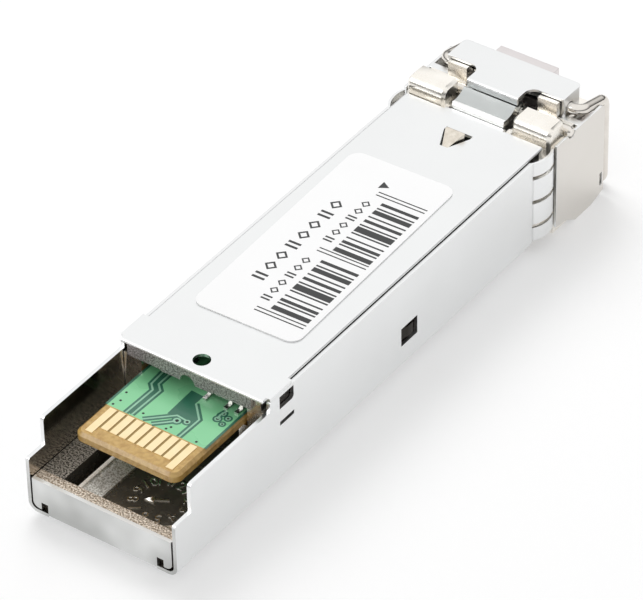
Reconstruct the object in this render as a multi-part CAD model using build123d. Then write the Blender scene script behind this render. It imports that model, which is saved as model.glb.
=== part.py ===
from build123d import *
import os
from math import cos, radians, sin

# Pluggable optical transceiver, lying label side up with its card edge towards -Y.
# X runs across the module, Y from the card edge to the fibre sockets and Z up from the flat
# face of the can. The pieces are written with Y = 0 at the card-edge face and Z = 0 at that
# flat face, and are moved together at export to an origin under the middle of the module.
# All sizes are in millimetres.

os.makedirs("parts", exist_ok=True)

# Fits and clearances
SLIP = 0.05              # between seated rigid parts, each side
RUN = 0.04               # radial play of a turning pin or shaft
ARM_AIR = 0.12           # beside the arms of the bail
FREE = 0.32              # air between parts that move past one another
GLUE = 0.01              # air under a part that lies on a flat face
BITE = 0.1               # how far a boss or rib reaches into what it grows from
REACH = 1.0              # how far a cut runs past the metal

# Module body
BODY_W = 13.4
BODY_H = 8.5
SHEET = 0.3              # steel of the can
CAN_CORNER = 0.8         # outer radius along the can's two lower edges
CAN_L = 45.6             # root of the shielding fingers
WALL_DROP = 0.3          # side walls below the cover's outer face
WALL_TOP = BODY_H - WALL_DROP
STEP_Y = 1.9             # length of the low ledge at the card edge
STEP_DROP = 3.7          # low ledge below the cover's outer face
STEP_Z = BODY_H - STEP_DROP
SHOULDER_DROP = 1.17     # side wall beside the contacts
SHOULDER_Z = BODY_H - SHOULDER_DROP
SHOULDER_R = 0.38
LEDGE_R = 0.2
COVER_Y = 11.05          # near face of the cover
WALL_RISE_L = 0.45       # from the cover's near face to the full height of the walls
WALL_RISE_Y = COVER_Y + WALL_RISE_L

# End tab of the can
TAB_H = 3.1
TAB_GAP = 0.15
TAB_CORNER = 0.55
TAB_BEND_R = 0.15
RELIEF_X = 4.9
RELIEF_W = 0.6
RELIEF_TOP = 1.1

# Shielding fingers
FINGER_L = 2.45
FINGER_BULGE = 0.5
FINGER_T = 0.2
FINGER_PITCH = 2.3
FINGER_SLOT = 0.34
FINGER_ROW_Z = 2.2       # first slot above the table
FINGER_CREST = 1.5       # from the root to the widest point
FINGER_TIP_OUT = 0.3     # how far the tips stay out
FLOOR_BULGE = 0.3
FLOOR_TIP_OUT = 0.12
FLOOR_FINGERS = 5

# Windows in the side walls
CATCH_Y = 12.68
CATCH_W = 1.72
CATCH_DROP = 1.7
CATCH_Z = BODY_H - CATCH_DROP
CATCH_H = 1.12
CATCH_R = 0.3
SLOT_DROP = 3.23
SLOT_Z = BODY_H - SLOT_DROP
SLOT_H = 0.36
SNAP_Y = 27.95
SNAP_W = 2.1
SNAP_Z = 2.25
SNAP_H = 1.65
SNAP_TOOTH = 0.28        # how far the casting's tooth stands out into the window
SNAP_TOOTH_W = 1.3
SNAP_TOOTH_H = 0.95
SNAP_TOOTH_RAMP = 0.55
SNAP_SIDE = 0.35         # air between tooth and window

# Cover
COVER_T = 0.25
COVER_PAST = 1.85        # past the root of the fingers
COVER_END = CAN_L + COVER_PAST
COVER_EDGE_R = 0.2
COVER_END_R = 0.23
LIP_W = 5.4
LIP_L = 0.42
FLANGE_DROP = 1.38
FLANGE_Z = BODY_H - FLANGE_DROP
FLANGE_LEFT = -5.75
FLANGE_RIGHT = 5.35
FLANGE_STEP = 0.13
FLANGE_STEP_L = -2.75
FLANGE_STEP_R = 1.9
FLANGE_NOTCH_X = -0.36
FLANGE_NOTCH_R = 0.66
RIB_H = 1.3              # folded edges that run down inside the can
RIB_START = 12.4
RIB_SHORT = 2.95         # ribs end before the cover does
RIB_END = COVER_END - RIB_SHORT
EAR_L = 2.75
HOLE_D = 1.36
HOLE_Y = 12.42
WINDOW_W = 2.4
WINDOW_BACK = 1.85       # far edge of the latch window before the cover's end
WINDOW_FAR = COVER_END - WINDOW_BACK
WINDOW_SHOULDER_L = 0.4
WINDOW_SHOULDER = WINDOW_FAR - WINDOW_SHOULDER_L
WINDOW_TAPER_L = 1.85
WINDOW_NEAR = WINDOW_SHOULDER - WINDOW_TAPER_L
WINDOW_TIP_W = 0.7

# Label
LABEL_W = 9.3
LABEL_L = 21.8
LABEL_T = 0.1
LABEL_R = 1.0
LABEL_X = -0.3
LABEL_AIR = 4.15         # between the latch window and the label
LABEL_Y = WINDOW_NEAR - LABEL_AIR - LABEL_L / 2
LABEL_TURN = 1.6         # degrees off square, as stuck on

# Circuit board
BOARD_W = 9.2
BOARD_T = 1.0
BOARD_Y = 3.0
BOARD_SHORT = 9.6        # board ends before the root of the fingers
BOARD_END = CAN_L - BOARD_SHORT
BOARD_DROP = 2.25
BOARD_TOP = BODY_H - BOARD_DROP
BOARD_CORNER = 0.75
BOARD_BEVEL = 0.25
PAD_PITCH = 0.8
PAD_COUNT = 10
PAD_W = 0.6
PAD_T = 0.05
PAD_FAR = 6.5
PAD_NEAR_LONG = 3.5
PAD_NEAR_SHORT = 4.28

# Casting under the board
CAST_W = BODY_W - 2 * SHEET - 2 * SLIP
CAST_Y = SHEET + SLIP
CAST_Z = SHEET + SLIP
CAST_CORNER = 0.6
CAST_FLOOR = 2.6
CAST_RIM = 3.0
RIM_L = 0.9
CHANNEL_LEFT = -4.3
CHANNEL_RIGHT = -3.0
CHANNEL_END = 10.6
CHANNEL_Z = 1.1
RIDGE_W = 0.3
GRIT_X = -1.0            # where the rough floor ends and the dial's pocket starts
GRIT_Z = 2.82
POCKET_RIGHT = 5.4
POCKET_R = 1.2
POST_Y = COVER_Y + COVER_T + SLIP
RAIL_LAP = 0.65          # how far the rails reach under the board
RAIL_X = BOARD_W / 2 - RAIL_LAP
RAIL_TOP = BOARD_TOP - BOARD_T
WALL_AIR = 0.15          # between the board and the casting beside it
WALL_IN = BOARD_W / 2 + WALL_AIR
OPTIC_AIR = 0.3          # from the board to the pocket of the optical parts
OPTIC_Y = BOARD_END + OPTIC_AIR
OPTIC_WALL = 0.35
WEB_PAST = 1.35          # cross wall between can and nose
WEB_Y = CAN_L + WEB_PAST
RIB_W = 0.8              # rib between the two optical parts
RIB_DROP = 2.2
RIB_TOP = BODY_H - RIB_DROP

# Date dial cast into the floor
DIAL_X = 2.6
DIAL_Y = 3.7
DIAL_LINE = 0.14
DIAL_T = 0.1
DIAL_ARROW = 1.2
DIAL_HEAD_W = 0.7
DIAL_HEAD_L = 0.7
DIAL_TURN = 120

# Nose
NOSE_GAP = 2.75          # from the root of the fingers to the nose sheet
NOSE_Y = CAN_L + NOSE_GAP
NOSE_L = 6.75
NOSE_OUT = 0.4           # side plates of the nose outside the can's walls
NOSE_W = BODY_W + 2 * NOSE_OUT
NOSE_T = 0.25
NOSE_TOP = BODY_H + 1.4
NOSE_FRONT = NOSE_Y + NOSE_L
NOSE_SIDE_DROP = 0.22
NOSE_SIDE_TOP = BODY_H - NOSE_SIDE_DROP
NOSE_DECK_DROP = 0.5
NOSE_DECK = BODY_H - NOSE_DECK_DROP
FRAME_SHY = 0.1          # casting behind the front edges of the sheet
FRAME_FRONT = NOSE_FRONT - FRAME_SHY
SIDE_CUT_L = 1.55
SIDE_CUT_Y = NOSE_Y + SIDE_CUT_L
SIDE_CUT_NEAR = 1.0      # near lower edge above the belly
SIDE_CUT_FAR = 0.75
SIDE_LOW_L = 2.75
SIDE_LOW_Y = NOSE_Y + SIDE_LOW_L
SIDE_RISE_L = 2.3
SIDE_RISE_Y = SIDE_LOW_Y + SIDE_RISE_L
SIDE_FRONT_RISE = 0.5
SIDE_CORNER_R = 0.5
HOUSE_INSET = 1.7        # raised part over the latch, inside the side plates
HOUSE_W = NOSE_W - 2 * HOUSE_INSET
HOUSE_BACK = 1.65
HOUSE_Y = NOSE_Y + HOUSE_BACK
HOUSE_L = 4.4
HOUSE_FRONT = HOUSE_Y + HOUSE_L
HOUSE_LIP = 0.45
HOUSE_CORNER_R = 0.35
HOUSE_BEND_R = 0.22
NOTCH_X = 2.35           # corner cut-outs of the raised plate
NOTCH_L = 1.85
NOTCH_Y = HOUSE_Y + NOTCH_L
NOTCH_R = 0.8
HOUSE_SIDE_L = 1.95
HOUSE_SIDE_Y = HOUSE_Y + HOUSE_SIDE_L
SNAP_SLOT_BACK = 0.55    # from the front edge
SNAP_SLOT_Y = NOSE_FRONT - SNAP_SLOT_BACK
SNAP_SLOT_W = 0.35
SNAP_SLOT_RISE = 1.1     # above the belly
SNAP_SLOT_H = 1.2

# Knuckles and posts of the casting
KNUCKLE_INSET = 0.5
KNUCKLE_OUT = NOSE_W / 2 - KNUCKLE_INSET
KNUCKLE_LEAD = 0.4       # near face before the nose sheet
KNUCKLE_Y = NOSE_Y - KNUCKLE_LEAD
KNUCKLE_L = 1.95
KNUCKLE_FAR = KNUCKLE_Y + KNUCKLE_L
KNUCKLE_RISE = 1.1
KNUCKLE_TOP = BODY_H + KNUCKLE_RISE
KNUCKLE_DEPTH = 3.1
KNUCKLE_ROOT = KNUCKLE_TOP - KNUCKLE_DEPTH
KNUCKLE_R = 0.75
KNUCKLE_EDGE = 0.25
POST_INSET = 0.1         # inside the wall of the raised part
POST_OUT = HOUSE_W / 2 - NOSE_T - POST_INSET
POST_W = 1.75
POST_IN = POST_OUT - POST_W
POST_NEAR_L = 1.4
POST_NEAR = HOUSE_Y + POST_NEAR_L

# Latch
PIN_BACK = 2.1           # from the near edge of the nose sheet
PIN_Y = NOSE_Y + PIN_BACK
PIN_DROP = 0.15
PIN_Z = BODY_H - PIN_DROP
PIN_D = 0.9
PIN_SHY = 0.03           # ends below the sheet's outer face
PIN_HALF = NOSE_W / 2 - PIN_SHY
PIN_EDGE = 0.15
ROCKER_W = 4.8
KNUCKLE_AIR = 0.72       # between rocker and knuckles
KNUCKLE_IN = ROCKER_W / 2 + KNUCKLE_AIR
ROCKER_PAST = 0.65       # past the near edge of the window
ROCKER_NEAR = WINDOW_NEAR - ROCKER_PAST
ROCKER_TOP = BODY_H - COVER_T - FREE
ROCKER_T = 0.45
ROCKER_KNEE_L = 2.85     # before the pin
ROCKER_KNEE = PIN_Y - ROCKER_KNEE_L
FACE_AIR = 0.2           # between the cover's lip and the rocker
ROCKER_FACE = COVER_END + LIP_L + FACE_AIR
ROCKER_FACE_RISE = 0.4   # near edge of the saddle above the cover
ROCKER_FACE_Z = BODY_H + ROCKER_FACE_RISE
ROCKER_FACE_SLOPE = 0.15
ROCKER_SAG = 0.22
BARREL_R = 0.75
SADDLE_END = 0.72        # crest of the saddle before the pin
CREST_RISE = 0.98        # crest above the pin
CREST_Z = PIN_Z + CREST_RISE
TAIL_W = 3.2
TAIL_RISE = 0.4          # heights of the tail above the pin
TAIL_TOP = PIN_Z + TAIL_RISE
TAIL_LOW_RISE = -0.05
TAIL_LOW = PIN_Z + TAIL_LOW_RISE
TAIL_L = 1.95
TAIL_END = PIN_Y + TAIL_L
TAIL_TIP_RISE = 0.6
TAIL_TIP_TOP = PIN_Z + TAIL_TIP_RISE
TAIL_TIP_T = 0.06
TAIL_TIP_LOW = TAIL_TIP_TOP - TAIL_TIP_T
TAIL_BEVEL = 0.45
TAIL_HEEL_RISE = 0.1
TAIL_HEEL = TAIL_LOW + TAIL_HEEL_RISE
BOSS_W = 1.9
BOSS_AIR = 0.5           # between the boss and the far edge of the window
BOSS_SHOULDER = WINDOW_FAR - BOSS_AIR
BOSS_L = 1.6
BOSS_TIP_W = 0.5
BOSS_H = 0.45
BOSS_EDGE_R = 0.15
BOSS_RAMP_L = 1.24
BOSS_RAMP_START = 0.2    # start of the ramp below the cover's outer face
BAY_DEPTH = 1.6          # casting's bay under the rocker, below the cover's face
BAY_FLOOR = BODY_H - BAY_DEPTH
SPRING_W = 2.0
SPRING_T = 0.12
SPRING_BACK = 0.2        # before the cross wall
SPRING_ROOT = WEB_Y - SPRING_BACK
SPRING_FOOT = 1.0
SPRING_L = 3.25
SPRING_TIP = SPRING_ROOT - SPRING_L
SPRING_TOE = 0.6
SPRING_CURL = 0.1

# Bail
BAIL_D = 0.9
BAIL_AHEAD = 2.25        # from the pin to the shaft
BAIL_Y = PIN_Y + BAIL_AHEAD
BAIL_RISE = 0.2
BAIL_Z = BODY_H + BAIL_RISE
BAIL_HALF = NOSE_W / 2 - NOSE_T - SLIP - BAIL_D / 2
BAIL_DIP = 0.85          # arms fall towards the front
BAIL_REACH = 3.4
BAIL_FRONT = BAIL_Y + BAIL_REACH
BAIL_BEND = 0.75
CRANK = 0.14             # offset of the wire under the rocker's tail
CRANK_TURN = -45         # direction of that offset from level
CRANK_IN = 2.2
CRANK_OUT = 2.9

# Fibre sockets
FIBRE_X = 3.125
FIBRE_DROP = 4.3         # below the cover's outer face
FIBRE_Z = BODY_H - FIBRE_DROP
SOCKET_BACK = 1.6        # from the near edge of the nose sheet
SOCKET_Y = NOSE_Y + SOCKET_BACK
SOCKET_FRONT = FRAME_FRONT
PORT_W = 4.75
SOCKET_SIDE = 0.6        # wall outside a port
SOCKET_FLOOR = 1.225     # under a port, with its key slot
SOCKET_ROOF = 0.575
SOCKET_W = 2 * FIBRE_X + PORT_W + 2 * SOCKET_SIDE
SOCKET_Z = FIBRE_Z - PORT_W / 2 - SOCKET_FLOOR
SOCKET_TOP = FIBRE_Z + PORT_W / 2 + SOCKET_ROOF
PORT_DEPTH = 4.4
PORT_KEY_W = 2.3
PORT_KEY_H = 0.75
PORT_KEY_L = 3.4
HOOD_W = 5.4
HOOD_T = 0.9
HOOD_ROOT_DROP = 2.35
HOOD_ROOT = BODY_H - HOOD_ROOT_DROP
HOOD_SHY = 0.15          # below the raised plate
HOOD_TOP = NOSE_TOP - HOOD_SHY
NOSE_FLOOR = 0.75        # casting under the sockets
NOSE_BOTTOM = SOCKET_Z - SLIP - NOSE_FLOOR - SLIP - NOSE_T
BAIL_LOW = NOSE_BOTTOM + BAIL_D / 2      # crossbar level with the belly of the nose

# Optical parts
BARREL_D = 2.95
BARREL_L = 6.2
BORE_D = 1.62
BORE_L = 6.0
FLANGE_D = 4.5
FLANGE_BACK = 1.15       # seat of the flange before the cross wall
FLANGE_Y = WEB_Y - FLANGE_BACK
BARREL_TIP = FLANGE_Y + BARREL_L
FLANGE_T = 0.9
NECK_D = 3.5
NECK_T = 1.0
OPTIC_BODY_D = 4.9
OPTIC_BODY_L = 4.0
HEADER_D = 5.3
HEADER_AIR = 0.2         # between the header and the floor under it
OPTIC_FLOOR = FIBRE_Z - HEADER_D / 2 - HEADER_AIR
HEADER_T = 0.9
LEAD_D = 0.42
LEAD_R = 0.95
LEAD_L = 1.3
LEAD_TURNS = (45, 135, 225, 315)
SLEEVE_WALL = 0.17
SLEEVE_L = 5.0
CLAMP_T = 0.5
CLAMP_TOP = RIB_TOP - SLIP
GASKET_T = 0.24
GASKET_W = 0.6

# Flexible circuits and board parts
FLEX_W = 3.0
FLEX_T = 0.14
FLEX_LAP = 2.2
FLEX_BEND = 0.5
FLEX_LOW = 1.8           # below the axis of the optical part
CHIP_S = 3.0
CHIP_T = 0.8
CHIP_EDGE = 0.12
CHIP_Y = 27.6
CHIP_X = 2.3
CONTROL_S = 4.0
CONTROL_Y = 19.0
REG_X = 2.6
REG_W = 3.4
REG_L = 1.6
REG_T = 0.9
REG_Y = 11.75
REG_LEG_W = 0.34
REG_LEG_L = 0.75
REG_LEG_T = 0.16
REG_LEG_PITCH = 0.95
REG_LEGS = (-1.5, 0.5, 1.5)   # in pitches from the middle, one place left empty
SMALL_L = 1.0
SMALL_W = 0.5
SMALL_T = 0.45
SMALL_ROW_Y = 23.4
SMALL_STAGGER = 1.5
SMALL_PITCH = 0.825
SMALL_COUNT = 10
COIL_S = 1.6
COIL_T = 1.1
COIL_Y = 13.6
COIL_X = -2.6
COIL_PITCH = 2.1
COIL_COUNT = 2
PAD_MARGIN = 0.4

# Origin of the finished module: under the middle of its outer box
LENGTH = BAIL_FRONT + BAIL_D / 2
TO_ORIGIN = Pos(0, -LENGTH / 2, -NOSE_BOTTOM)


def block(x, y, z):
    """Box between pairs of coordinates."""
    size = Box(x[1] - x[0], y[1] - y[0], z[1] - z[0])
    return Pos((x[0] + x[1]) / 2, (y[0] + y[1]) / 2, (z[0] + z[1]) / 2) * size


def outline(points, radii=None):
    """Closed flat face through 3-D points, some of its corners rounded."""
    face = make_face(Polyline(*points, close=True))
    for index, radius in (radii or {}).items():
        corner = face.vertices().sort_by_distance(points[index])[0]
        face = fillet(corner, radius)
    return face


def along_x(points, x, radii=None):
    """Prism over an outline of (Y, Z) points."""
    face = outline([(x[0], y, z) for y, z in points], radii)
    return extrude(face, x[1] - x[0], dir=(1, 0, 0))


def along_y(points, y, radii=None):
    """Prism over an outline of (X, Z) points."""
    face = outline([(px, y[0], z) for px, z in points], radii)
    return extrude(face, y[1] - y[0], dir=(0, 1, 0))


def along_z(points, z, radii=None):
    """Prism over an outline of (X, Y) points."""
    face = outline([(px, y, z[0]) for px, y in points], radii)
    return extrude(face, z[1] - z[0], dir=(0, 0, 1))


def rod_x(y, z, radius, x):
    """Cylinder along X."""
    return Pos((x[0] + x[1]) / 2, y, z) * Rot(0, 90, 0) * Cylinder(radius, x[1] - x[0])


def rod_y(x, z, radius, y):
    """Cylinder along Y."""
    return Pos(x, (y[0] + y[1]) / 2, z) * Rot(90, 0, 0) * Cylinder(radius, y[1] - y[0])


def rod_z(x, y, radius, z):
    """Cylinder along Z."""
    return Pos(x, y, (z[0] + z[1]) / 2) * Cylinder(radius, z[1] - z[0])


def both(shape):
    """The shape and its mirror image across the middle of the module."""
    return shape + mirror(shape, Plane.YZ)


def finger_face(crest_out, tip_out, place):
    """Face of one bowed finger; place turns (distance along, distance out) into a point."""
    tip = place(FINGER_L, tip_out)
    tip_in = place(FINGER_L, tip_out - FINGER_T)
    root = place(0, 0)
    root_in = place(0, -FINGER_T)
    return make_face([
        ThreePointArc(root, place(FINGER_CREST, crest_out), tip),
        Line(tip, tip_in),
        ThreePointArc(tip_in, place(FINGER_CREST, crest_out - FINGER_T), root_in),
        Line(root_in, root)])


def finger_spans():
    """Lower and upper edge of each shielding finger of a side wall."""
    spans = []
    low = CAN_CORNER
    slot = FINGER_ROW_Z
    while slot + FINGER_SLOT / 2 < WALL_TOP:
        spans.append((low, slot - FINGER_SLOT / 2))
        low = slot + FINGER_SLOT / 2
        slot += FINGER_PITCH
    return spans + [(low, WALL_TOP)]


def shielding_fingers():
    """Bowed fingers at the far end of the can's walls and floor."""
    half = BODY_W / 2
    fingers = []
    for low, top in finger_spans():
        face = finger_face(FINGER_BULGE, FINGER_TIP_OUT, lambda a, b: (half + b, CAN_L + a, low))
        fingers.append(both(extrude(face, top - low, dir=(0, 0, 1))))
    first = -half + CAN_CORNER + FINGER_SLOT
    pitch = -2 * first / FLOOR_FINGERS
    for index in range(FLOOR_FINGERS):
        left = first + index * pitch + FINGER_SLOT / 2
        face = finger_face(FLOOR_BULGE, FLOOR_TIP_OUT, lambda a, b: (left, CAN_L + a, -b))
        fingers.append(extrude(face, pitch - FINGER_SLOT, dir=(1, 0, 0)))
    return fingers


def can():
    """Folded steel can with end tab, windows and shielding fingers."""
    half = BODY_W / 2
    inner = half - SHEET
    shell = along_y(
        [(-half, 0), (half, 0), (half, WALL_TOP), (-half, WALL_TOP)],
        (0, CAN_L), {0: CAN_CORNER, 1: CAN_CORNER})
    hollow = along_y(
        [(-inner, SHEET), (inner, SHEET), (inner, BODY_H), (-inner, BODY_H)],
        (-REACH, CAN_L + REACH), {0: CAN_CORNER - SHEET, 1: CAN_CORNER - SHEET})
    side = along_x(
        [(0, 0), (CAN_L, 0), (CAN_L, WALL_TOP), (WALL_RISE_Y, WALL_TOP), (WALL_RISE_Y, SHOULDER_Z),
         (STEP_Y, SHOULDER_Z), (STEP_Y, STEP_Z), (0, STEP_Z)],
        (-half, half), {7: LEDGE_R, 5: SHOULDER_R, 3: LEDGE_R})
    body = (shell - hollow) & side
    wide = inner - TAB_GAP
    low = SHEET + TAB_GAP
    tab = along_y(
        [(-wide, low), (wide, low), (wide, TAB_H), (-wide, TAB_H)], (0, SHEET),
        {0: TAB_CORNER, 1: TAB_CORNER})
    bend = along_x([(0, 0), (SHEET, 0), (SHEET, RELIEF_TOP), (0, RELIEF_TOP)],
                   (-RELIEF_X, RELIEF_X), {0: TAB_BEND_R})
    relief = both(block((RELIEF_X, RELIEF_X + RELIEF_W), (-REACH, SHEET), (SHEET, RELIEF_TOP)))
    body -= block((-RELIEF_X, RELIEF_X), (-REACH, SHEET), (-REACH, SHEET))
    body += (tab - relief) + bend
    through = (inner - REACH, half + REACH)
    catch = along_x(
        [(CATCH_Y, CATCH_Z), (CATCH_Y + CATCH_W, CATCH_Z), (CATCH_Y + CATCH_W, CATCH_Z + CATCH_H),
         (CATCH_Y, CATCH_Z + CATCH_H)], through, {1: CATCH_R})
    slot = block(through, (CATCH_Y, CATCH_Y + CATCH_W), (SLOT_Z, SLOT_Z + SLOT_H))
    snap = block(through, (SNAP_Y, SNAP_Y + SNAP_W), (SNAP_Z, SNAP_Z + SNAP_H))
    body -= both(catch + slot + snap)
    for finger in shielding_fingers():
        body += finger
    return body


def cover():
    """Flat cover on the label side with its bent flange, lip, hole and latch window."""
    half = BODY_W / 2 - SHEET - SLIP
    under = BODY_H - COVER_T
    plate = block((-half, half), (COVER_Y, COVER_END), (under, BODY_H))
    plate += block((-LIP_W / 2, LIP_W / 2), (COVER_END - REACH, COVER_END + LIP_L), (under, BODY_H))
    ear_y = (WALL_RISE_Y + SLIP, WALL_RISE_Y + EAR_L)
    plate += both(block((half - REACH, BODY_W / 2), ear_y, (WALL_TOP + GLUE, BODY_H)))
    plate += both(block((half - COVER_T, half), (RIB_START, RIB_END), (BODY_H - RIB_H, BODY_H)))
    level = FLANGE_Z + FLANGE_STEP
    plate += along_y(
        [(FLANGE_LEFT, level), (FLANGE_STEP_L, level), (FLANGE_STEP_L, FLANGE_Z), (FLANGE_STEP_R, FLANGE_Z),
         (FLANGE_STEP_R, level), (FLANGE_RIGHT, level), (FLANGE_RIGHT, BODY_H), (FLANGE_LEFT, BODY_H)],
        (COVER_Y, COVER_Y + COVER_T))
    plate -= rod_y(FLANGE_NOTCH_X, FLANGE_Z, FLANGE_NOTCH_R, (COVER_Y - REACH, COVER_Y + REACH))
    face_edges = plate.faces().sort_by(Axis.Z)[-1].edges()
    long_edges = face_edges.filter_by(Axis.Y).filter_by(lambda e: e.length > EAR_L)
    outer = long_edges.filter_by(lambda e: abs(e.center().X) > half - GLUE)
    plate = fillet(outer, COVER_EDGE_R)
    ends = plate.faces().sort_by(Axis.Z)[-1].edges().filter_by(Axis.X).sort_by(Axis.Y)
    plate = fillet([ends[0], ends[-1]], COVER_END_R)
    cut_z = (under - REACH, BODY_H + REACH)
    plate -= rod_z(0, HOLE_Y, HOLE_D / 2, cut_z)
    wide = WINDOW_W / 2
    tip = WINDOW_TIP_W / 2
    plate -= along_z(
        [(-wide, WINDOW_FAR), (-wide, WINDOW_SHOULDER), (-tip, WINDOW_NEAR), (tip, WINDOW_NEAR),
         (wide, WINDOW_SHOULDER), (wide, WINDOW_FAR)], cut_z)
    return plate


def label():
    """Paper label stuck a little off square on the cover."""
    wide = LABEL_W / 2
    long = LABEL_L / 2
    sheet = along_z(
        [(-wide, -long), (wide, -long), (wide, long), (-wide, long)], (0, LABEL_T),
        {index: LABEL_R for index in range(4)})
    return Pos(LABEL_X, LABEL_Y, BODY_H + GLUE) * Rot(0, 0, LABEL_TURN) * sheet


def dial():
    """Raised arrow of the mould's date dial."""
    z = (CAST_FLOOR - BITE, CAST_FLOOR + DIAL_T)
    line = (-DIAL_LINE / 2, DIAL_LINE / 2)
    head_y = DIAL_ARROW - DIAL_HEAD_L
    arrow = block(line, (-DIAL_ARROW / 2, head_y + DIAL_LINE), z)
    arrow += along_z([(-DIAL_HEAD_W / 2, head_y), (DIAL_HEAD_W / 2, head_y), (0, DIAL_ARROW)], z)
    return Pos(DIAL_X, DIAL_Y, 0) * Rot(0, 0, DIAL_TURN) * arrow


def casting_floor():
    """Floor of the casting: channel, ridge, rough field and dial pocket beside the card edge."""
    half = CAST_W / 2
    floor = along_y(
        [(-half, CAST_Z), (half, CAST_Z), (half, CAST_RIM), (-half, CAST_RIM)],
        (CAST_Y, WEB_Y + REACH), {0: CAST_CORNER, 1: CAST_CORNER})
    near = CAST_Y + RIM_L
    ridge_right = CHANNEL_RIGHT + RIDGE_W
    floor -= block((CHANNEL_LEFT, CHANNEL_RIGHT), (near, CHANNEL_END), (CHANNEL_Z, BODY_H))
    floor -= block((ridge_right, GRIT_X + BITE), (near, WEB_Y), (GRIT_Z, BODY_H))
    floor -= along_z(
        [(GRIT_X, near), (POCKET_RIGHT, near), (POCKET_RIGHT, WEB_Y), (GRIT_X, WEB_Y)],
        (CAST_FLOOR, BODY_H), {1: POCKET_R})
    floor -= block((-half, half), (POST_Y, WEB_Y), (CAST_FLOOR, BODY_H))
    return floor + dial()


def casting_walls():
    """Rails under the board, walls beside it and the pocket of the optical parts."""
    half = CAST_W / 2
    beside_rib = half - COVER_T - 2 * SLIP
    top = BODY_H - COVER_T - SLIP
    low = CAST_FLOOR - BITE
    length = (POST_Y, WEB_Y)
    rail = block((RAIL_X, beside_rib), length, (low, RAIL_TOP))
    wall = block((WALL_IN, beside_rib), length, (low, top))
    belly = block((WALL_IN, half), length, (low, BODY_H - RIB_H - SLIP))
    walls = both(rail + wall + belly)
    tooth_y = SNAP_Y + SNAP_SIDE
    tooth_z = SNAP_Z + (SNAP_H - SNAP_TOOTH_H) / 2
    tooth = along_z(
        [(half - BITE, tooth_y), (half, tooth_y), (half + SNAP_TOOTH, tooth_y + SNAP_TOOTH_RAMP),
         (half + SNAP_TOOTH, tooth_y + SNAP_TOOTH_W), (half - BITE, tooth_y + SNAP_TOOTH_W)],
        (tooth_z, tooth_z + SNAP_TOOTH_H))
    return walls + both(tooth)


def casting_nose():
    """Cross wall and nose frame with its knuckles, beds and posts."""
    half = CAST_W / 2
    nose = NOSE_W / 2 - NOSE_T - SLIP
    neck = min(half, nose)
    body = block((-neck, neck), (WEB_Y, NOSE_Y + REACH), (CAST_Z, RAIL_TOP))
    body += block((-half, half), (WEB_Y, NOSE_Y), (CAST_Z, BODY_H - COVER_T - SLIP))
    body += block((-nose, nose), (NOSE_Y, FRAME_FRONT), (NOSE_BOTTOM + NOSE_T + SLIP, NOSE_DECK))
    socket = SOCKET_W / 2 + SLIP
    body -= block((-socket, socket), (SOCKET_Y - SLIP, FRAME_FRONT + REACH), (SOCKET_Z - SLIP, SOCKET_TOP + SLIP))
    hood = HOOD_W / 2 + SLIP
    body -= block((-hood, hood), (HOUSE_FRONT, FRAME_FRONT + REACH), (HOOD_ROOT, BODY_H + REACH))
    knuckle = block((KNUCKLE_IN, KNUCKLE_OUT), (KNUCKLE_Y, KNUCKLE_FAR), (KNUCKLE_ROOT, KNUCKLE_TOP))
    near = knuckle.edges().filter_by(Axis.X).sort_by(lambda e: e.center().Z - e.center().Y)[-1]
    knuckle = fillet(near, KNUCKLE_R)
    rims = knuckle.edges().filter_by(Axis.Y).group_by(Axis.Z)[-1]
    knuckle = chamfer(rims, KNUCKLE_EDGE)
    deck = NOSE_DECK - BITE
    post = block((POST_IN, POST_OUT), (POST_NEAR, HOUSE_FRONT - SLIP), (deck, NOSE_TOP - NOSE_T - SLIP))
    bed = block((KNUCKLE_IN, KNUCKLE_OUT), (KNUCKLE_FAR - BITE, POST_NEAR + BITE), (deck, PIN_Z))
    return body + both(knuckle + post + bed)


def base_casting():
    """Nickel-plated zinc casting: floor, walls, cross wall, nose frame, knuckles and posts."""
    half = CAST_W / 2
    pocket = half - OPTIC_WALL
    body = casting_floor() + casting_walls()
    body -= block((-pocket, pocket), (OPTIC_Y, WEB_Y), (OPTIC_FLOOR, BODY_H + REACH))
    body += casting_nose()
    body += block((-RIB_W / 2, RIB_W / 2), (OPTIC_Y, WEB_Y + BITE), (OPTIC_FLOOR - BITE, RIB_TOP))
    clamp = clamp_span()
    body -= block((-RIB_W, RIB_W), (clamp[0] - SLIP, clamp[1] + SLIP), (OPTIC_FLOOR, BODY_H))
    body -= rod_x(PIN_Y, PIN_Z, PIN_D / 2 + SLIP, (-NOSE_W, NOSE_W))
    groove = BAIL_D / 2 + RUN
    body -= rod_x(BAIL_Y, BAIL_Z, groove, (-NOSE_W, NOSE_W))
    body -= block((-NOSE_W, NOSE_W), (BAIL_Y - groove, BAIL_Y + groove), (BAIL_Z, NOSE_TOP))
    arm = BAIL_HALF - BAIL_D / 2 - ARM_AIR
    body -= both(block((arm, NOSE_W), (BAIL_Y - groove, FRAME_FRONT + REACH), (SOCKET_TOP + SLIP, NOSE_TOP)))
    bay = ROCKER_W / 2 + FREE
    body -= block((-bay, bay), (ROCKER_NEAR - REACH, SOCKET_Y - SLIP), (BAY_FLOOR, NOSE_TOP))
    body -= block((-bay, bay), (KNUCKLE_Y, TAIL_END + FREE), (SOCKET_TOP, NOSE_TOP))
    for x in (-FIBRE_X, FIBRE_X):
        body -= rod_y(x, FIBRE_Z, BARREL_D / 2 + SLIP, (WEB_Y - REACH, SOCKET_Y + REACH))
    return body


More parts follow.
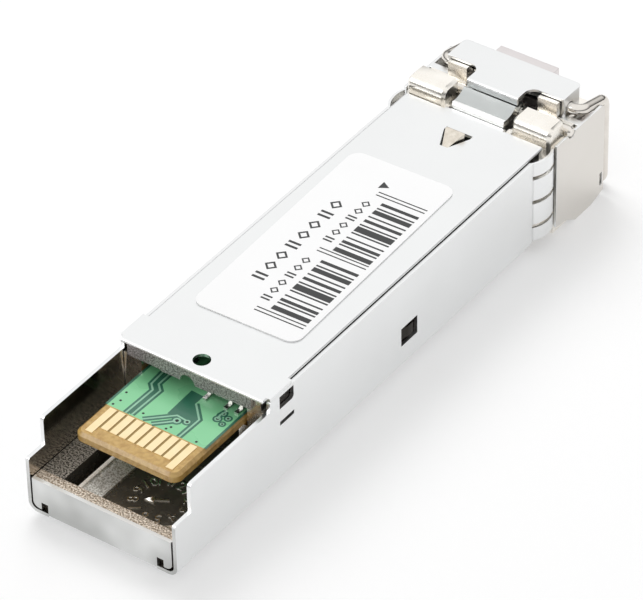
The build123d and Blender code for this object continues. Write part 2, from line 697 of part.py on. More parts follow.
def nose_shroud():
    """Folded sheet round the nose with its raised plate over the latch."""
    half = NOSE_W / 2
    house = HOUSE_W / 2
    through = (half - REACH, half + REACH)
    side = along_x(
        [(NOSE_Y, NOSE_SIDE_TOP), (NOSE_Y, NOSE_BOTTOM + SIDE_CUT_NEAR),
         (SIDE_CUT_Y, NOSE_BOTTOM + SIDE_CUT_FAR), (SIDE_LOW_Y, NOSE_BOTTOM), (SIDE_RISE_Y, NOSE_BOTTOM),
         (NOSE_FRONT, NOSE_BOTTOM + SIDE_FRONT_RISE),
         (NOSE_FRONT, NOSE_SIDE_TOP)], (half - NOSE_T, half), {6: SIDE_CORNER_R})
    slot_z = NOSE_BOTTOM + SNAP_SLOT_RISE
    side -= block(through, (SNAP_SLOT_Y, SNAP_SLOT_Y + SNAP_SLOT_W), (slot_z, slot_z + SNAP_SLOT_H))
    side -= rod_x(PIN_Y, PIN_Z, PIN_D / 2 + SLIP, through)
    belly_z = (NOSE_BOTTOM, NOSE_BOTTOM + NOSE_T)
    belly = block((-half, half), (SIDE_LOW_Y, SIDE_RISE_Y), belly_z)
    belly += block((-house, house), (SIDE_LOW_Y, NOSE_FRONT), belly_z)
    plate = along_z(
        [(-NOTCH_X, HOUSE_Y), (NOTCH_X, HOUSE_Y), (NOTCH_X, NOTCH_Y), (house, NOTCH_Y), (house, HOUSE_FRONT),
         (-house, HOUSE_FRONT), (-house, NOTCH_Y), (-NOTCH_X, NOTCH_Y)],
        (NOSE_TOP - NOSE_T, NOSE_TOP), {2: NOTCH_R, 7: NOTCH_R, 4: HOUSE_CORNER_R, 5: HOUSE_CORNER_R})
    lip = along_x(
        [(HOUSE_Y, NOSE_TOP), (HOUSE_Y, NOSE_TOP - NOSE_T - HOUSE_LIP),
         (HOUSE_Y + NOSE_T, NOSE_TOP - NOSE_T - HOUSE_LIP), (HOUSE_Y + NOSE_T, NOSE_TOP)],
        (-NOTCH_X, NOTCH_X), {0: HOUSE_BEND_R})
    plate -= block((-NOTCH_X, NOTCH_X), (HOUSE_Y, HOUSE_Y + NOSE_T), (NOSE_TOP - NOSE_T, NOSE_TOP))
    wall = block((house - NOSE_T, house), (HOUSE_SIDE_Y, HOUSE_FRONT - HOUSE_CORNER_R), (NOSE_DECK + GLUE, NOSE_TOP))
    groove = BAIL_D / 2 + RUN
    wall -= block((house - REACH, house + REACH), (BAIL_Y - groove, BAIL_Y + groove), (NOSE_DECK, BAIL_Z))
    wall -= rod_x(BAIL_Y, BAIL_Z, groove, (house - REACH, house + REACH))
    foot_y = (POST_NEAR + BITE + SLIP, BAIL_Y - groove)
    foot = block((house - NOSE_T, half), foot_y, (NOSE_DECK + GLUE, NOSE_SIDE_TOP))
    return plate + lip + both(wall + foot + side) + belly


def rocker():
    """Latch rocker: boss in the cover's window, saddle between the knuckles, barrel and tail."""
    half = ROCKER_W / 2
    low = ROCKER_TOP - ROCKER_T
    saddle_end = PIN_Y - SADDLE_END

    def point(y, z):
        return (-half, y, z)

    saddle = ThreePointArc(
        point(ROCKER_FACE, ROCKER_FACE_Z),
        point((ROCKER_FACE + saddle_end) / 2, (ROCKER_FACE_Z + CREST_Z) / 2 - ROCKER_SAG),
        point(saddle_end, CREST_Z))
    rest = Polyline(
        point(saddle_end, CREST_Z), point(PIN_Y, PIN_Z + PIN_D / 2), point(PIN_Y, PIN_Z - PIN_D / 2),
        point(ROCKER_KNEE, low), point(ROCKER_NEAR, low), point(ROCKER_NEAR, ROCKER_TOP),
        point(ROCKER_FACE - ROCKER_FACE_SLOPE, ROCKER_TOP), point(ROCKER_FACE, ROCKER_FACE_Z))
    body = extrude(make_face([saddle, *rest.edges()]), ROCKER_W, dir=(1, 0, 0))
    body += rod_x(PIN_Y, PIN_Z, BARREL_R, (-half, half))
    body += along_x(
        [(PIN_Y, TAIL_LOW), (TAIL_END - TAIL_BEVEL, TAIL_HEEL), (TAIL_END, TAIL_TIP_LOW),
         (TAIL_END, TAIL_TIP_TOP), (PIN_Y, TAIL_TOP)], (-TAIL_W / 2, TAIL_W / 2))
    body -= rod_x(PIN_Y, PIN_Z, PIN_D / 2 + RUN, (-ROCKER_W, ROCKER_W))
    near = BOSS_SHOULDER - BOSS_L
    top = BODY_H + BOSS_H
    boss = along_z(
        [(-BOSS_W / 2, BOSS_SHOULDER), (BOSS_W / 2, BOSS_SHOULDER), (BOSS_TIP_W / 2, near),
         (-BOSS_TIP_W / 2, near)], (ROCKER_TOP - BITE, top), {0: BOSS_EDGE_R, 1: BOSS_EDGE_R})
    ramp_z = BODY_H - BOSS_RAMP_START
    ramp = along_x(
        [(near - REACH, ramp_z), (near, ramp_z), (near + BOSS_RAMP_L, top),
         (near + BOSS_RAMP_L, top + REACH), (near - REACH, top + REACH)], (-BOSS_W, BOSS_W))
    return body + (boss - ramp)


def rocker_pin():
    """Pin the rocker turns on, its ends bevelled."""
    pin = rod_x(PIN_Y, PIN_Z, PIN_D / 2, (-PIN_HALF, PIN_HALF))
    return chamfer(pin.edges().filter_by(GeomType.CIRCLE), PIN_EDGE)


def latch_spring():
    """Leaf spring that holds the boss out of the window."""
    root_z = RIB_TOP + GLUE
    tip_z = ROCKER_TOP - ROCKER_T - 2 * SLIP - SPRING_T
    foot_y = SPRING_ROOT - SPRING_FOOT
    toe_y = SPRING_TIP + SPRING_TOE
    under = [(SPRING_ROOT, root_z), (foot_y, root_z), (toe_y, tip_z), (SPRING_TIP, tip_z - SPRING_CURL)]
    over = [(y, z + SPRING_T) for y, z in reversed(under)]
    return along_x(under + over, (-SPRING_W / 2, SPRING_W / 2))


def bail():
    """Bent wire bail: cranked shaft in the posts, two arms and the bar across the nose."""
    points = [
        (CRANK_IN, BAIL_Y, BAIL_Z), (BAIL_HALF, BAIL_Y, BAIL_Z), (BAIL_HALF, BAIL_FRONT, BAIL_Z - BAIL_DIP),
        (BAIL_HALF, BAIL_FRONT, BAIL_LOW), (0, BAIL_FRONT, BAIL_LOW)]
    path = FilletPolyline(*points, radius=BAIL_BEND)
    section = Plane(origin=points[0], z_dir=(1, 0, 0)) * Circle(BAIL_D / 2)
    crank_y = BAIL_Y + CRANK * cos(radians(CRANK_TURN))
    crank_z = BAIL_Z + CRANK * sin(radians(CRANK_TURN))
    return both(sweep(section, path=path)) + rod_x(crank_y, crank_z, BAIL_D / 2, (-CRANK_OUT, CRANK_OUT))


def socket():
    """Moulded double fibre socket with the hood over its front edge."""
    body = block((-SOCKET_W / 2, SOCKET_W / 2), (SOCKET_Y, SOCKET_FRONT), (SOCKET_Z, SOCKET_TOP))
    hood_y = HOUSE_FRONT + SLIP
    body += block((-HOOD_W / 2, HOOD_W / 2), (hood_y, hood_y + HOOD_T), (HOOD_ROOT + SLIP, HOOD_TOP))
    out = SOCKET_FRONT + REACH
    port_z = (FIBRE_Z - PORT_W / 2, FIBRE_Z + PORT_W / 2)
    for x in (-FIBRE_X, FIBRE_X):
        body -= block((x - PORT_W / 2, x + PORT_W / 2), (SOCKET_FRONT - PORT_DEPTH, out), port_z)
        body -= block((x - PORT_KEY_W / 2, x + PORT_KEY_W / 2), (SOCKET_FRONT - PORT_KEY_L, out),
                      (port_z[0] - PORT_KEY_H, port_z[0] + BITE))
        body -= rod_y(x, FIBRE_Z, BARREL_D / 2 + SLIP, (SOCKET_Y - REACH, SOCKET_FRONT))
    return body


def lead_places(x):
    """Centres of the four leads of the optical part at x."""
    return [(x + LEAD_R * cos(radians(turn)), FIBRE_Z + LEAD_R * sin(radians(turn))) for turn in LEAD_TURNS]


def optical_part(x):
    """Optical subassembly: barrel, flange, neck, body, header and leads."""
    neck_y = FLANGE_Y - NECK_T
    body_y = neck_y - OPTIC_BODY_L
    header_y = body_y - HEADER_T
    part = rod_y(x, FIBRE_Z, BARREL_D / 2, (FLANGE_Y, BARREL_TIP))
    part += rod_y(x, FIBRE_Z, FLANGE_D / 2, (FLANGE_Y, FLANGE_Y + FLANGE_T))
    part += rod_y(x, FIBRE_Z, NECK_D / 2, (neck_y, FLANGE_Y))
    part += rod_y(x, FIBRE_Z, OPTIC_BODY_D / 2, (body_y, neck_y))
    part += rod_y(x, FIBRE_Z, HEADER_D / 2, (header_y, body_y))
    for lead_x, lead_z in lead_places(x):
        part += rod_y(lead_x, lead_z, LEAD_D / 2, (header_y - LEAD_L, header_y))
    return part - rod_y(x, FIBRE_Z, BORE_D / 2, (BARREL_TIP - BORE_L, BARREL_TIP + REACH))


def sleeve(x):
    """Ceramic sleeve in the barrel of an optical part."""
    radius = BORE_D / 2 - GLUE
    start = BARREL_TIP - BORE_L + GLUE
    tube = rod_y(x, FIBRE_Z, radius, (start, start + SLEEVE_L))
    return tube - rod_y(x, FIBRE_Z, radius - SLEEVE_WALL, (start - REACH, start + SLEEVE_L + REACH))


def clamp_span():
    """Near and far face of the clamp in the middle of the optical necks."""
    middle = FLANGE_Y - NECK_T / 2
    return (middle - CLAMP_T / 2, middle + CLAMP_T / 2)


def optic_clamp():
    """Steel clamp pushed down over the necks of both optical parts."""
    wide = CAST_W / 2 - OPTIC_WALL - SLIP
    near, far = clamp_span()
    plate = block((-wide, wide), (near, far), (OPTIC_FLOOR + SLIP, CLAMP_TOP))
    radius = NECK_D / 2 + SLIP
    for x in (-FIBRE_X, FIBRE_X):
        plate -= rod_y(x, FIBRE_Z, radius, (near - REACH, far + REACH))
        plate -= block((x - radius, x + radius), (near - REACH, far + REACH), (OPTIC_FLOOR - REACH, FIBRE_Z))
    return plate


def barrel_gaskets():
    """Conductive rings between the optical flanges and the cross wall."""
    start = FLANGE_Y + FLANGE_T
    y = (start + GLUE, start + GASKET_T)
    ring = rod_y(FIBRE_X, FIBRE_Z, BARREL_D / 2 + GASKET_W, y)
    return both(ring - rod_y(FIBRE_X, FIBRE_Z, BARREL_D / 2 + GLUE, (start - REACH, start + REACH)))


def flex(x):
    """Flexible circuit from the leads of an optical part to the board."""
    back = FLANGE_Y - NECK_T - OPTIC_BODY_L - HEADER_T - 2 * SLIP
    top = BOARD_TOP + GLUE + FLEX_T
    low = FIBRE_Z - FLEX_LOW
    lap = BOARD_END - FLEX_LAP
    body = along_x(
        [(back, low), (back, top), (lap, top), (lap, top - FLEX_T), (back - FLEX_T, top - FLEX_T),
         (back - FLEX_T, low)], (x - FLEX_W / 2, x + FLEX_W / 2), {1: FLEX_BEND, 4: FLEX_BEND - FLEX_T})
    hole = LEAD_D / 2 + GLUE
    for lead_x, lead_z in lead_places(x):
        body -= block((lead_x - hole, lead_x + hole), (back - REACH, back + REACH), (lead_z - hole, lead_z + hole))
    return body


def circuit_board():
    """Bare board with rounded front corners and bevelled front edges."""
    half = BOARD_W / 2
    low = BOARD_TOP - BOARD_T + GLUE
    body = along_z(
        [(-half, BOARD_Y), (half, BOARD_Y), (half, BOARD_END), (-half, BOARD_END)], (low, BOARD_TOP),
        {0: BOARD_CORNER, 1: BOARD_CORNER})
    front = body.edges().filter_by(Axis.X).group_by(Axis.Y)[0]
    return chamfer(front, BOARD_BEVEL)


def contacts(z):
    """Row of contact pads, the outer two longer towards the edge."""
    row = []
    for index in range(PAD_COUNT):
        x = (index - (PAD_COUNT - 1) / 2) * PAD_PITCH
        near = PAD_NEAR_LONG if index in (0, PAD_COUNT - 1) else PAD_NEAR_SHORT
        row.append(block((x - PAD_W / 2, x + PAD_W / 2), (near, PAD_FAR), z))
    return Part() + row


def chip(x, y, size, height):
    """Square chip package on the label side of the board."""
    low = BOARD_TOP + GLUE
    body = block((x - size / 2, x + size / 2), (y - size / 2, y + size / 2), (low, low + height))
    return chamfer(body.edges().filter_by(Axis.Z), CHIP_EDGE)


def regulator():
    """Small leaded package whose legs show under the cover's flange."""
    low = BOARD_TOP + GLUE
    body = block((REG_X - REG_W / 2, REG_X + REG_W / 2), (REG_Y, REG_Y + REG_L), (low + REG_LEG_T, low + REG_T))
    for place in REG_LEGS:
        x = REG_X + place * REG_LEG_PITCH
        wide = (x - REG_LEG_W / 2, x + REG_LEG_W / 2)
        body += block(wide, (REG_Y - REG_LEG_L, REG_Y), (low, low + REG_LEG_T))
        body += block(wide, (REG_Y - REG_LEG_T, REG_Y + BITE), (low, low + REG_T / 2))
    return body


def chip_parts():
    """Staggered row of small resistors and capacitors on the board."""
    low = BOARD_TOP + GLUE
    row = []
    for index in range(SMALL_COUNT):
        x = (index - (SMALL_COUNT - 1) / 2) * SMALL_PITCH
        y = SMALL_ROW_Y + (index % 2) * SMALL_STAGGER
        row.append(block((x - SMALL_W / 2, x + SMALL_W / 2), (y - SMALL_L / 2, y + SMALL_L / 2),
                         (low, low + SMALL_T)))
    return Part() + row


def filter_coils():
    """Filter coils of the supply on the board."""
    coils = [chip(COIL_X, COIL_Y + index * COIL_PITCH, COIL_S, COIL_T) for index in range(COIL_COUNT)]
    return Part() + coils


def thermal_pad():
    """Soft pad between the controller chip and the cover."""
    low = BOARD_TOP + 2 * GLUE + CHIP_T
    half = CONTROL_S / 2 + PAD_MARGIN
    return block((-half, half), (CONTROL_Y - half, CONTROL_Y + half), (low, BODY_H - COVER_T - GLUE))


FAR_SIDE = BOARD_TOP - BOARD_T + GLUE
PARTS = {
    "can": can,
    "cover": cover,
    "label": label,
    "base_casting": base_casting,
    "nose_shroud": nose_shroud,
    "latch_rocker": rocker,
    "rocker_pin": rocker_pin,
    "latch_spring": latch_spring,
    "bail": bail,
    "fibre_socket": socket,
    "transmit_optics": lambda: optical_part(-FIBRE_X),
    "receive_optics": lambda: optical_part(FIBRE_X),
    "transmit_sleeve": lambda: sleeve(-FIBRE_X),
    "receive_sleeve": lambda: sleeve(FIBRE_X),
    "optics_clamp": optic_clamp,
    "barrel_gaskets": barrel_gaskets,
    "transmit_flex": lambda: flex(-FIBRE_X),
    "receive_flex": lambda: flex(FIBRE_X),
    "circuit_board": circuit_board,
    "contacts_label_side": lambda: contacts((BOARD_TOP, BOARD_TOP + PAD_T)),
    "contacts_far_side": lambda: contacts((FAR_SIDE - PAD_T, FAR_SIDE)),
    "laser_driver": lambda: chip(-CHIP_X, CHIP_Y, CHIP_S, CHIP_T),
    "receive_amplifier": lambda: chip(CHIP_X, CHIP_Y, CHIP_S, CHIP_T),
    "controller": lambda: chip(0, CONTROL_Y, CONTROL_S, CHIP_T),
    "regulator": regulator,
    "chip_parts": chip_parts,
    "filter_coils": filter_coils,
    "thermal_pad": thermal_pad,
}

for name, build in PARTS.items():
    export_step(TO_ORIGIN * build(), "parts/" + name + ".step")
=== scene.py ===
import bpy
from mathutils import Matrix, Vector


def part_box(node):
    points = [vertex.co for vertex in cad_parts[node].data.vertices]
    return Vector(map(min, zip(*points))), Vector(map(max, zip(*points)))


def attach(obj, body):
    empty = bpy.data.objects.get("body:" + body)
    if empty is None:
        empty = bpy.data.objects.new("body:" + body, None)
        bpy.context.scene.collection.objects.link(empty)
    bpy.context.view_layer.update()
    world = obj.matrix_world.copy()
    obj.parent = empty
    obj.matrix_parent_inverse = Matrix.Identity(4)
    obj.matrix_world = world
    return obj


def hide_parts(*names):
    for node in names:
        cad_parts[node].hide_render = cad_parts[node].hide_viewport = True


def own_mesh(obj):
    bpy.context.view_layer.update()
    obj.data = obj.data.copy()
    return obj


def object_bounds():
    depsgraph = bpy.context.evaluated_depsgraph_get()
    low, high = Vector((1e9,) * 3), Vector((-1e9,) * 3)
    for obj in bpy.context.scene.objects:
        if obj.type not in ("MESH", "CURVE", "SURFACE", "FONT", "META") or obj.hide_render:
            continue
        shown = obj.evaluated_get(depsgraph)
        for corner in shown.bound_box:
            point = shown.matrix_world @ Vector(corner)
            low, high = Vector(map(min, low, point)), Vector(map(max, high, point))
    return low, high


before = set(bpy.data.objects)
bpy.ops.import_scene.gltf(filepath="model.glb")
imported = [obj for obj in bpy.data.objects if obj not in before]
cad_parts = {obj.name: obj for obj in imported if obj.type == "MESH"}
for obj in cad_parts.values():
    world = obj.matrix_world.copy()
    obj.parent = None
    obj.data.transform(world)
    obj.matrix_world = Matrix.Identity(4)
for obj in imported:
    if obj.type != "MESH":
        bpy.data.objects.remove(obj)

"""Looks of a pluggable optical transceiver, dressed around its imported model.

Sizes are written in millimetres in the module's own coordinates: X across, Y from the
card-edge face (0) to the fibre sockets, Z up from the can's flat face (0). The function
place() turns them into the frame's metres.
"""
import logging
import math
from dataclasses import dataclass, field
from enum import Enum
from typing import Iterable, Protocol, Sequence

import bmesh
import bpy
from mathutils import Matrix, Vector

LOG = logging.getLogger("transceiver")
CAD_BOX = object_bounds()

MM = 0.001
# Level of the cover's face over the can's flat face.
COVER_LEVEL = 8.5
# Where the frame has the card-edge face and the can's flat face, in millimetres.
EDGE_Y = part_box("can")[0][1] / MM
FLAT_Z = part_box("cover")[1][2] / MM - COVER_LEVEL
# Cosine above which a face counts as facing a direction.
SQUARE_ON = 0.9
# The two inputs and the result of a colour mix.
MIX_A, MIX_B, MIX_RESULT = 6, 7, 2
# Octaves of the noise in which colour and roughness drift.
DRIFT_DETAIL = 2.0
# Points nearer than this are welded, and faces that meet flatter than this are joined.
WELD_MM = 0.0005
FLAT_DEGREES = 0.5
# Edges sharper than this are eased, in so many steps.
EASE_DEGREES = 40.0
EASE_STEPS = 2
# Faces are shaded as one up to this angle between them.
SMOOTH_DEGREES = 32.0

Point = tuple[float, float, float]


def place(x: float, y: float, z: float) -> Vector:
    """Turns a point of the module in millimetres into the frame's metres."""
    return Vector((x * MM, (y + EDGE_Y) * MM, (z + FLAT_Z) * MM))


def linear(hex_colour: str) -> tuple[float, float, float, float]:
    """Turns an sRGB hex colour into linear RGBA.

    Args:
        hex_colour: six digits after a hash sign.

    Returns:
        Linear red, green, blue and an alpha of 1.
    """
    channels = [int(hex_colour[i:i + 2], 16) / 255 for i in (1, 3, 5)]
    values = [c / 12.92 if c <= 0.04045 else ((c + 0.055) / 1.055) ** 2.4 for c in channels]
    return (values[0], values[1], values[2], 1.0)


def add_node(tree: bpy.types.NodeTree, kind: str, settings: dict | None = None,
             links: dict | None = None) -> bpy.types.Node:
    """Adds a shader node with its settings and links.

    Args:
        tree: node tree that gets the node.
        kind: Blender's name of the node type.
        settings: attribute or input names (or input indices) with their values.
        links: input names or indices with the output sockets that feed them.

    Returns:
        The new node.
    """
    node = tree.nodes.new(kind)
    for name, value in (settings or {}).items():
        if isinstance(name, str) and hasattr(node, name):
            setattr(node, name, value)
        else:
            node.inputs[name].default_value = value
    for name, socket in (links or {}).items():
        tree.links.new(socket, node.inputs[name])
    return node


def per_mm(size_mm: float) -> float:
    """Pattern scale at which one cell of a pattern measures size_mm on the object."""
    return 1.0 / (size_mm * MM)


class Metal(Enum):
    """Share of metal in a surface."""

    NONE = 0.0
    COARSE = 0.5
    FULL = 1.0


@dataclass(frozen=True)
class Grain:
    """A surface's fine relief.

    Attributes:
        size_mm: width of one grain.
        height_mm: height of the relief.
        detail: octaves of finer relief.
    """

    size_mm: float
    height_mm: float
    detail: float = 3.0


@dataclass(frozen=True)
class Finish:
    """A finish made of one material: colour drift, roughness drift and grain.

    Attributes:
        name: common name of the material and how its surface was made.
        light: sRGB hex colour of the lighter patches.
        dark: sRGB hex colour of the darker patches.
        metal: how much of it acts as bare metal.
        rough: lowest and highest roughness.
        patch_mm: size of the patches in which colour and roughness drift.
        grain: fine relief.
        ior: index of refraction of what isn't metal.
        coat: weight of a clear coat.
        spread: half of the noise's range over which light turns to dark; small for speckles.
    """

    name: str
    light: str
    dark: str
    metal: Metal
    rough: tuple[float, float]
    patch_mm: float
    grain: Grain
    ior: float = 1.5
    coat: float = 0.0
    spread: float = 0.5

    def shader(self, material: bpy.types.Material) -> bpy.types.Node:
        """Builds the common part of the finish.

        Args:
            material: material with an empty node tree.

        Returns:
            The Principled shader, linked to the output.
        """
        tree = material.node_tree
        where = add_node(tree, "ShaderNodeTexCoord").outputs["Object"]
        drift = add_node(tree, "ShaderNodeTexNoise",
                         {"Scale": per_mm(self.patch_mm), "Detail": DRIFT_DETAIL}, {"Vector": where})
        patch = add_node(tree, "ShaderNodeMapRange",
                         {"From Min": 0.5 - self.spread, "From Max": 0.5 + self.spread},
                         {"Value": drift.outputs["Fac"]})
        colour = add_node(tree, "ShaderNodeMix",
                          {"data_type": "RGBA", MIX_A: linear(self.dark), MIX_B: linear(self.light)},
                          {0: patch.outputs[0]})
        rough = add_node(tree, "ShaderNodeMapRange",
                         {"To Min": self.rough[0], "To Max": self.rough[1]},
                         {"Value": drift.outputs["Fac"]})
        relief = add_node(tree, "ShaderNodeTexNoise",
                          {"Scale": per_mm(self.grain.size_mm), "Detail": self.grain.detail},
                          {"Vector": where})
        bump = add_node(tree, "ShaderNodeBump",
                        {"Strength": 1.0, "Distance": self.grain.height_mm * MM},
                        {"Height": relief.outputs["Fac"]})
        shader = add_node(tree, "ShaderNodeBsdfPrincipled",
                          {"Metallic": self.metal.value, "IOR": self.ior, "Coat Weight": self.coat},
                          {"Base Color": colour.outputs[MIX_RESULT], "Roughness": rough.outputs[0],
                           "Normal": bump.outputs[0]})
        add_node(tree, "ShaderNodeOutputMaterial", links={"Surface": shader.outputs[0]})
        return shader

    def make(self) -> bpy.types.Material:
        """Makes the material, once for each name.

        Returns:
            The material.
        """
        if self.name in bpy.data.materials:
            return bpy.data.materials[self.name]
        material = bpy.data.materials.new(self.name)
        material.use_nodes = True
        material.node_tree.nodes.clear()
        self.shader(material)
        return material


@dataclass(frozen=True)
class Laminate(Finish):
    """Glass-epoxy laminate under a solder mask.

    The mask covers the two flat faces from mask_y on; the edge strip in front of it and the
    board's own edges stay bare, a tan with the weave of the glass cloth.

    Attributes:
        bare: sRGB hex colour of the bare laminate.
        bare_dark: sRGB hex colour of its darker weave.
        mask_y: where the mask starts, in millimetres from the card-edge face.
        thread_mm: spacing of the glass threads.
        thread_detail: octaves of finer threads.
        thread_bend: how far the threads stray from straight.
        thread_range: noise values at which dark thread starts and ends turning to light.
    """

    bare: str = "#CBA760"
    bare_dark: str = "#B38B47"
    mask_y: float = 6.66
    thread_mm: float = 0.45
    thread_detail: float = 3.0
    thread_bend: float = 0.6
    thread_range: tuple[float, float] = (0.35, 0.65)

    def shader(self, material: bpy.types.Material) -> bpy.types.Node:
        """Adds the bare strip to the common finish.

        Args:
            material: material with an empty node tree.

        Returns:
            The Principled shader, linked to the output.
        """
        shader = super().shader(material)
        tree = material.node_tree
        where = add_node(tree, "ShaderNodeTexCoord").outputs["Object"]
        spot = add_node(tree, "ShaderNodeSeparateXYZ", links={0: where})
        edge = place(0, self.mask_y, 0).y
        behind = add_node(tree, "ShaderNodeMath", {"operation": "GREATER_THAN", 1: edge},
                          {0: spot.outputs["Y"]})
        facing = add_node(tree, "ShaderNodeSeparateXYZ",
                          links={0: add_node(tree, "ShaderNodeNewGeometry").outputs["True Normal"]})
        upright = add_node(tree, "ShaderNodeMath", {"operation": "ABSOLUTE"},
                           {0: facing.outputs["Z"]})
        flat = add_node(tree, "ShaderNodeMath", {"operation": "GREATER_THAN", 1: SQUARE_ON},
                        {0: upright.outputs[0]})
        masked = add_node(tree, "ShaderNodeMath", {"operation": "MULTIPLY"},
                          {0: behind.outputs[0], 1: flat.outputs[0]})
        weave = add_node(tree, "ShaderNodeTexNoise",
                         {"Scale": per_mm(self.thread_mm), "Detail": self.thread_detail,
                          "Distortion": self.thread_bend}, {"Vector": where})
        steps = add_node(tree, "ShaderNodeMapRange",
                         {"From Min": self.thread_range[0], "From Max": self.thread_range[1]},
                         {"Value": weave.outputs["Fac"]})
        cloth = add_node(tree, "ShaderNodeMix",
                         {"data_type": "RGBA", MIX_A: linear(self.bare_dark), MIX_B: linear(self.bare)},
                         {0: steps.outputs[0]})
        mask_colour = shader.inputs["Base Color"].links[0].from_socket
        face = add_node(tree, "ShaderNodeMix", {"data_type": "RGBA"},
                        {0: masked.outputs[0], MIX_A: cloth.outputs[MIX_RESULT], MIX_B: mask_colour})
        tree.links.new(face.outputs[MIX_RESULT], shader.inputs["Base Color"])
        return shader


# Stamped steel, tumbled and plated: a pale satin in which edges glint and faces stay even.
STAMPED_STEEL = Finish("stamped_steel_tumbled", "#EDEEEE", "#E5E6E6", Metal.FULL, (0.26, 0.36), 6.0,
                       Grain(0.35, 0.0012))
# Zinc cast in a spark-eroded mould and nickel plated: warmer than the can, with a gritty skin.
CAST_NICKEL = Finish("zinc_cast_nickel_plated", "#F8F5EF", "#E6E1D8", Metal.FULL, (0.2, 0.34), 1.2,
                     Grain(0.16, 0.005, 4.0))
# The inside of the can has been rolled but not tumbled: a darker, browner mirror.
ROLLED_STEEL = Finish("stamped_steel_rolled", "#D6CFC4", "#C2BBB0", Metal.FULL, (0.1, 0.18), 4.0,
                      Grain(0.5, 0.001))
# The shroud's outer sides are painted a shade warmer and darker than the can, as painted shade on faces
# that look sideways; they are also a little duller.
SHROUD_SIDE_PAINTED_SHADE_STEEL = Finish("stamped_steel_side_painted_shade", "#DEDBD6", "#D5D1CB", Metal.FULL, (0.28, 0.4), 5.0,
                     Grain(0.35, 0.0012))
# The end tab curves a little and mirrors the table's greys: these are painted into it as soft clouds of
# grey.
TAB_PAINTED_REFLECTION_STEEL = Finish("stamped_steel_tab_painted_reflection", "#DEDFDE", "#9A9B98", Metal.FULL, (0.3, 0.42), 7.0,
                       Grain(0.35, 0.0015), spread=0.14)
# The cover's flange took a burnish from the bending tool: grey and mottled like pewter. The
# real mottle is finer; it is drawn as coarse as it needs to show.
# The flange's pink tint is painted: it cancels the green light that the board throws on it.
BENT_STEEL = Finish("stamped_steel_burnished", "#CBC4C6", "#777072", Metal.COARSE, (0.45, 0.6),
                    0.14, Grain(0.14, 0.01), spread=0.12)
# Zinc is coarse where the mould was coarsely eroded: the rim shows it in bronze speckles, whose lightest
# points are painted glints. The real grit is finer, here and in the next two; it is drawn as coarse as it
# needs to show.
RIM_GRIT_PAINTED_GLINTS = Finish("zinc_cast_coarse", "#FFF4E6", "#8C7860", Metal.COARSE, (0.3, 0.5), 0.14,
                      Grain(0.12, 0.03), spread=0.12)
# The pad beside the channel has the same coarse skin; its dark is painted shade of the wall and its light
# points are painted glints.
SHADED_ZINC = Finish("zinc_cast_coarse_shaded", "#B4AEA4", "#1F1D1B", Metal.COARSE, (0.3, 0.5),
                     0.14, Grain(0.12, 0.02), spread=0.1)
# Finer erosion gives the floor beside the dial an even grey speckle.
SPECKLED_ZINC = Finish("zinc_cast_fine_speckle", "#FFFFFB", "#B4B1A8", Metal.COARSE, (0.35, 0.55),
                       0.12, Grain(0.1, 0.012), spread=0.12)
# The dial's pocket and the channel lie deep in the mould: their near-black sheen is painted shade, in a
# dark colour.
RECESS_PAINTED_SHADE_ZINC = Finish("zinc_cast_recess_painted_shade", "#77736A", "#57534A", Metal.COARSE,
                       (0.2, 0.32), 0.9, Grain(0.3, 0.003))
# The casting's hidden sides and the cover's folded edges are painted a dull dark: painted shade where
# they lie behind the can.
HIDDEN_PAINTED_SHADE_ZINC = Finish("zinc_cast_hidden_painted_shade", "#3A3631", "#211F1C", Metal.FULL, (0.35, 0.5), 0.4,
                    Grain(0.2, 0.004))
# The rocker's faces are ground after casting, so the nickel lies smoother and greyer there.
GROUND_NICKEL = Finish("zinc_ground_nickel_plated", "#C4C7C6", "#B6B9B8", Metal.FULL, (0.2, 0.3),
                       1.5, Grain(0.25, 0.002))
# The cage rubs the boss: a warm mirror with small dents.
RUBBED_NICKEL = Finish("zinc_cast_rubbed", "#EFE9DE", "#BFB6A7", Metal.FULL, (0.12, 0.24), 0.5,
                       Grain(0.35, 0.02))
# The rocker's near face is painted white: a painted highlight along its near edge.
ROCKER_LIP_PAINTED_HIGHLIGHT = Finish("zinc_nickel_painted_highlight", "#FCFCFB", "#F2F2F0", Metal.FULL,
                        (0.2, 0.28), 1.5, Grain(0.25, 0.001))
# Drawn spring wire keeps a mirror with faint lines: it shows the dark and bright of the room.
DRAWN_WIRE = Finish("spring_steel_drawn", "#E4E0DA", "#CEC8C0", Metal.FULL, (0.1, 0.18), 1.5,
                    Grain(0.3, 0.001))
# Turned steel of the optical parts: rings of the tool too fine to see, so a soft gloss.
TURNED_STEEL = Finish("stainless_steel_turned", "#CFCFCF", "#B9B9B9", Metal.FULL, (0.25, 0.35), 2.0,
                      Grain(0.2, 0.002))
# Coated label paper: even white with a slight sheen.
LABEL_PAPER = Finish("paper_coated", "#FBFBFB", "#F6F6F6", Metal.NONE, (0.4, 0.5), 5.0,
                     Grain(0.2, 0.0006))
# Thermal print is a dull black that lies in the coating.
PRINT_BLACK = Finish("print_thermal_black", "#3D3E3E", "#333434", Metal.NONE, (0.5, 0.6), 1.0,
                     Grain(0.2, 0.0005))
# Liquid solder mask over copper: glossy light green, faintly clouded.
SOLDER_MASK = Laminate("epoxy_glass_masked", "#8ED8A2", "#80CD96", Metal.NONE, (0.22, 0.34), 2.5,
                       Grain(0.25, 0.0015), coat=0.3)
# Where no copper lies under it the same mask looks deeper and bluer.
MASK_BARE = Finish("solder_mask_over_glass", "#35755C", "#2C6650", Metal.NONE, (0.25, 0.35), 1.5,
                   Grain(0.25, 0.001), coat=0.3)
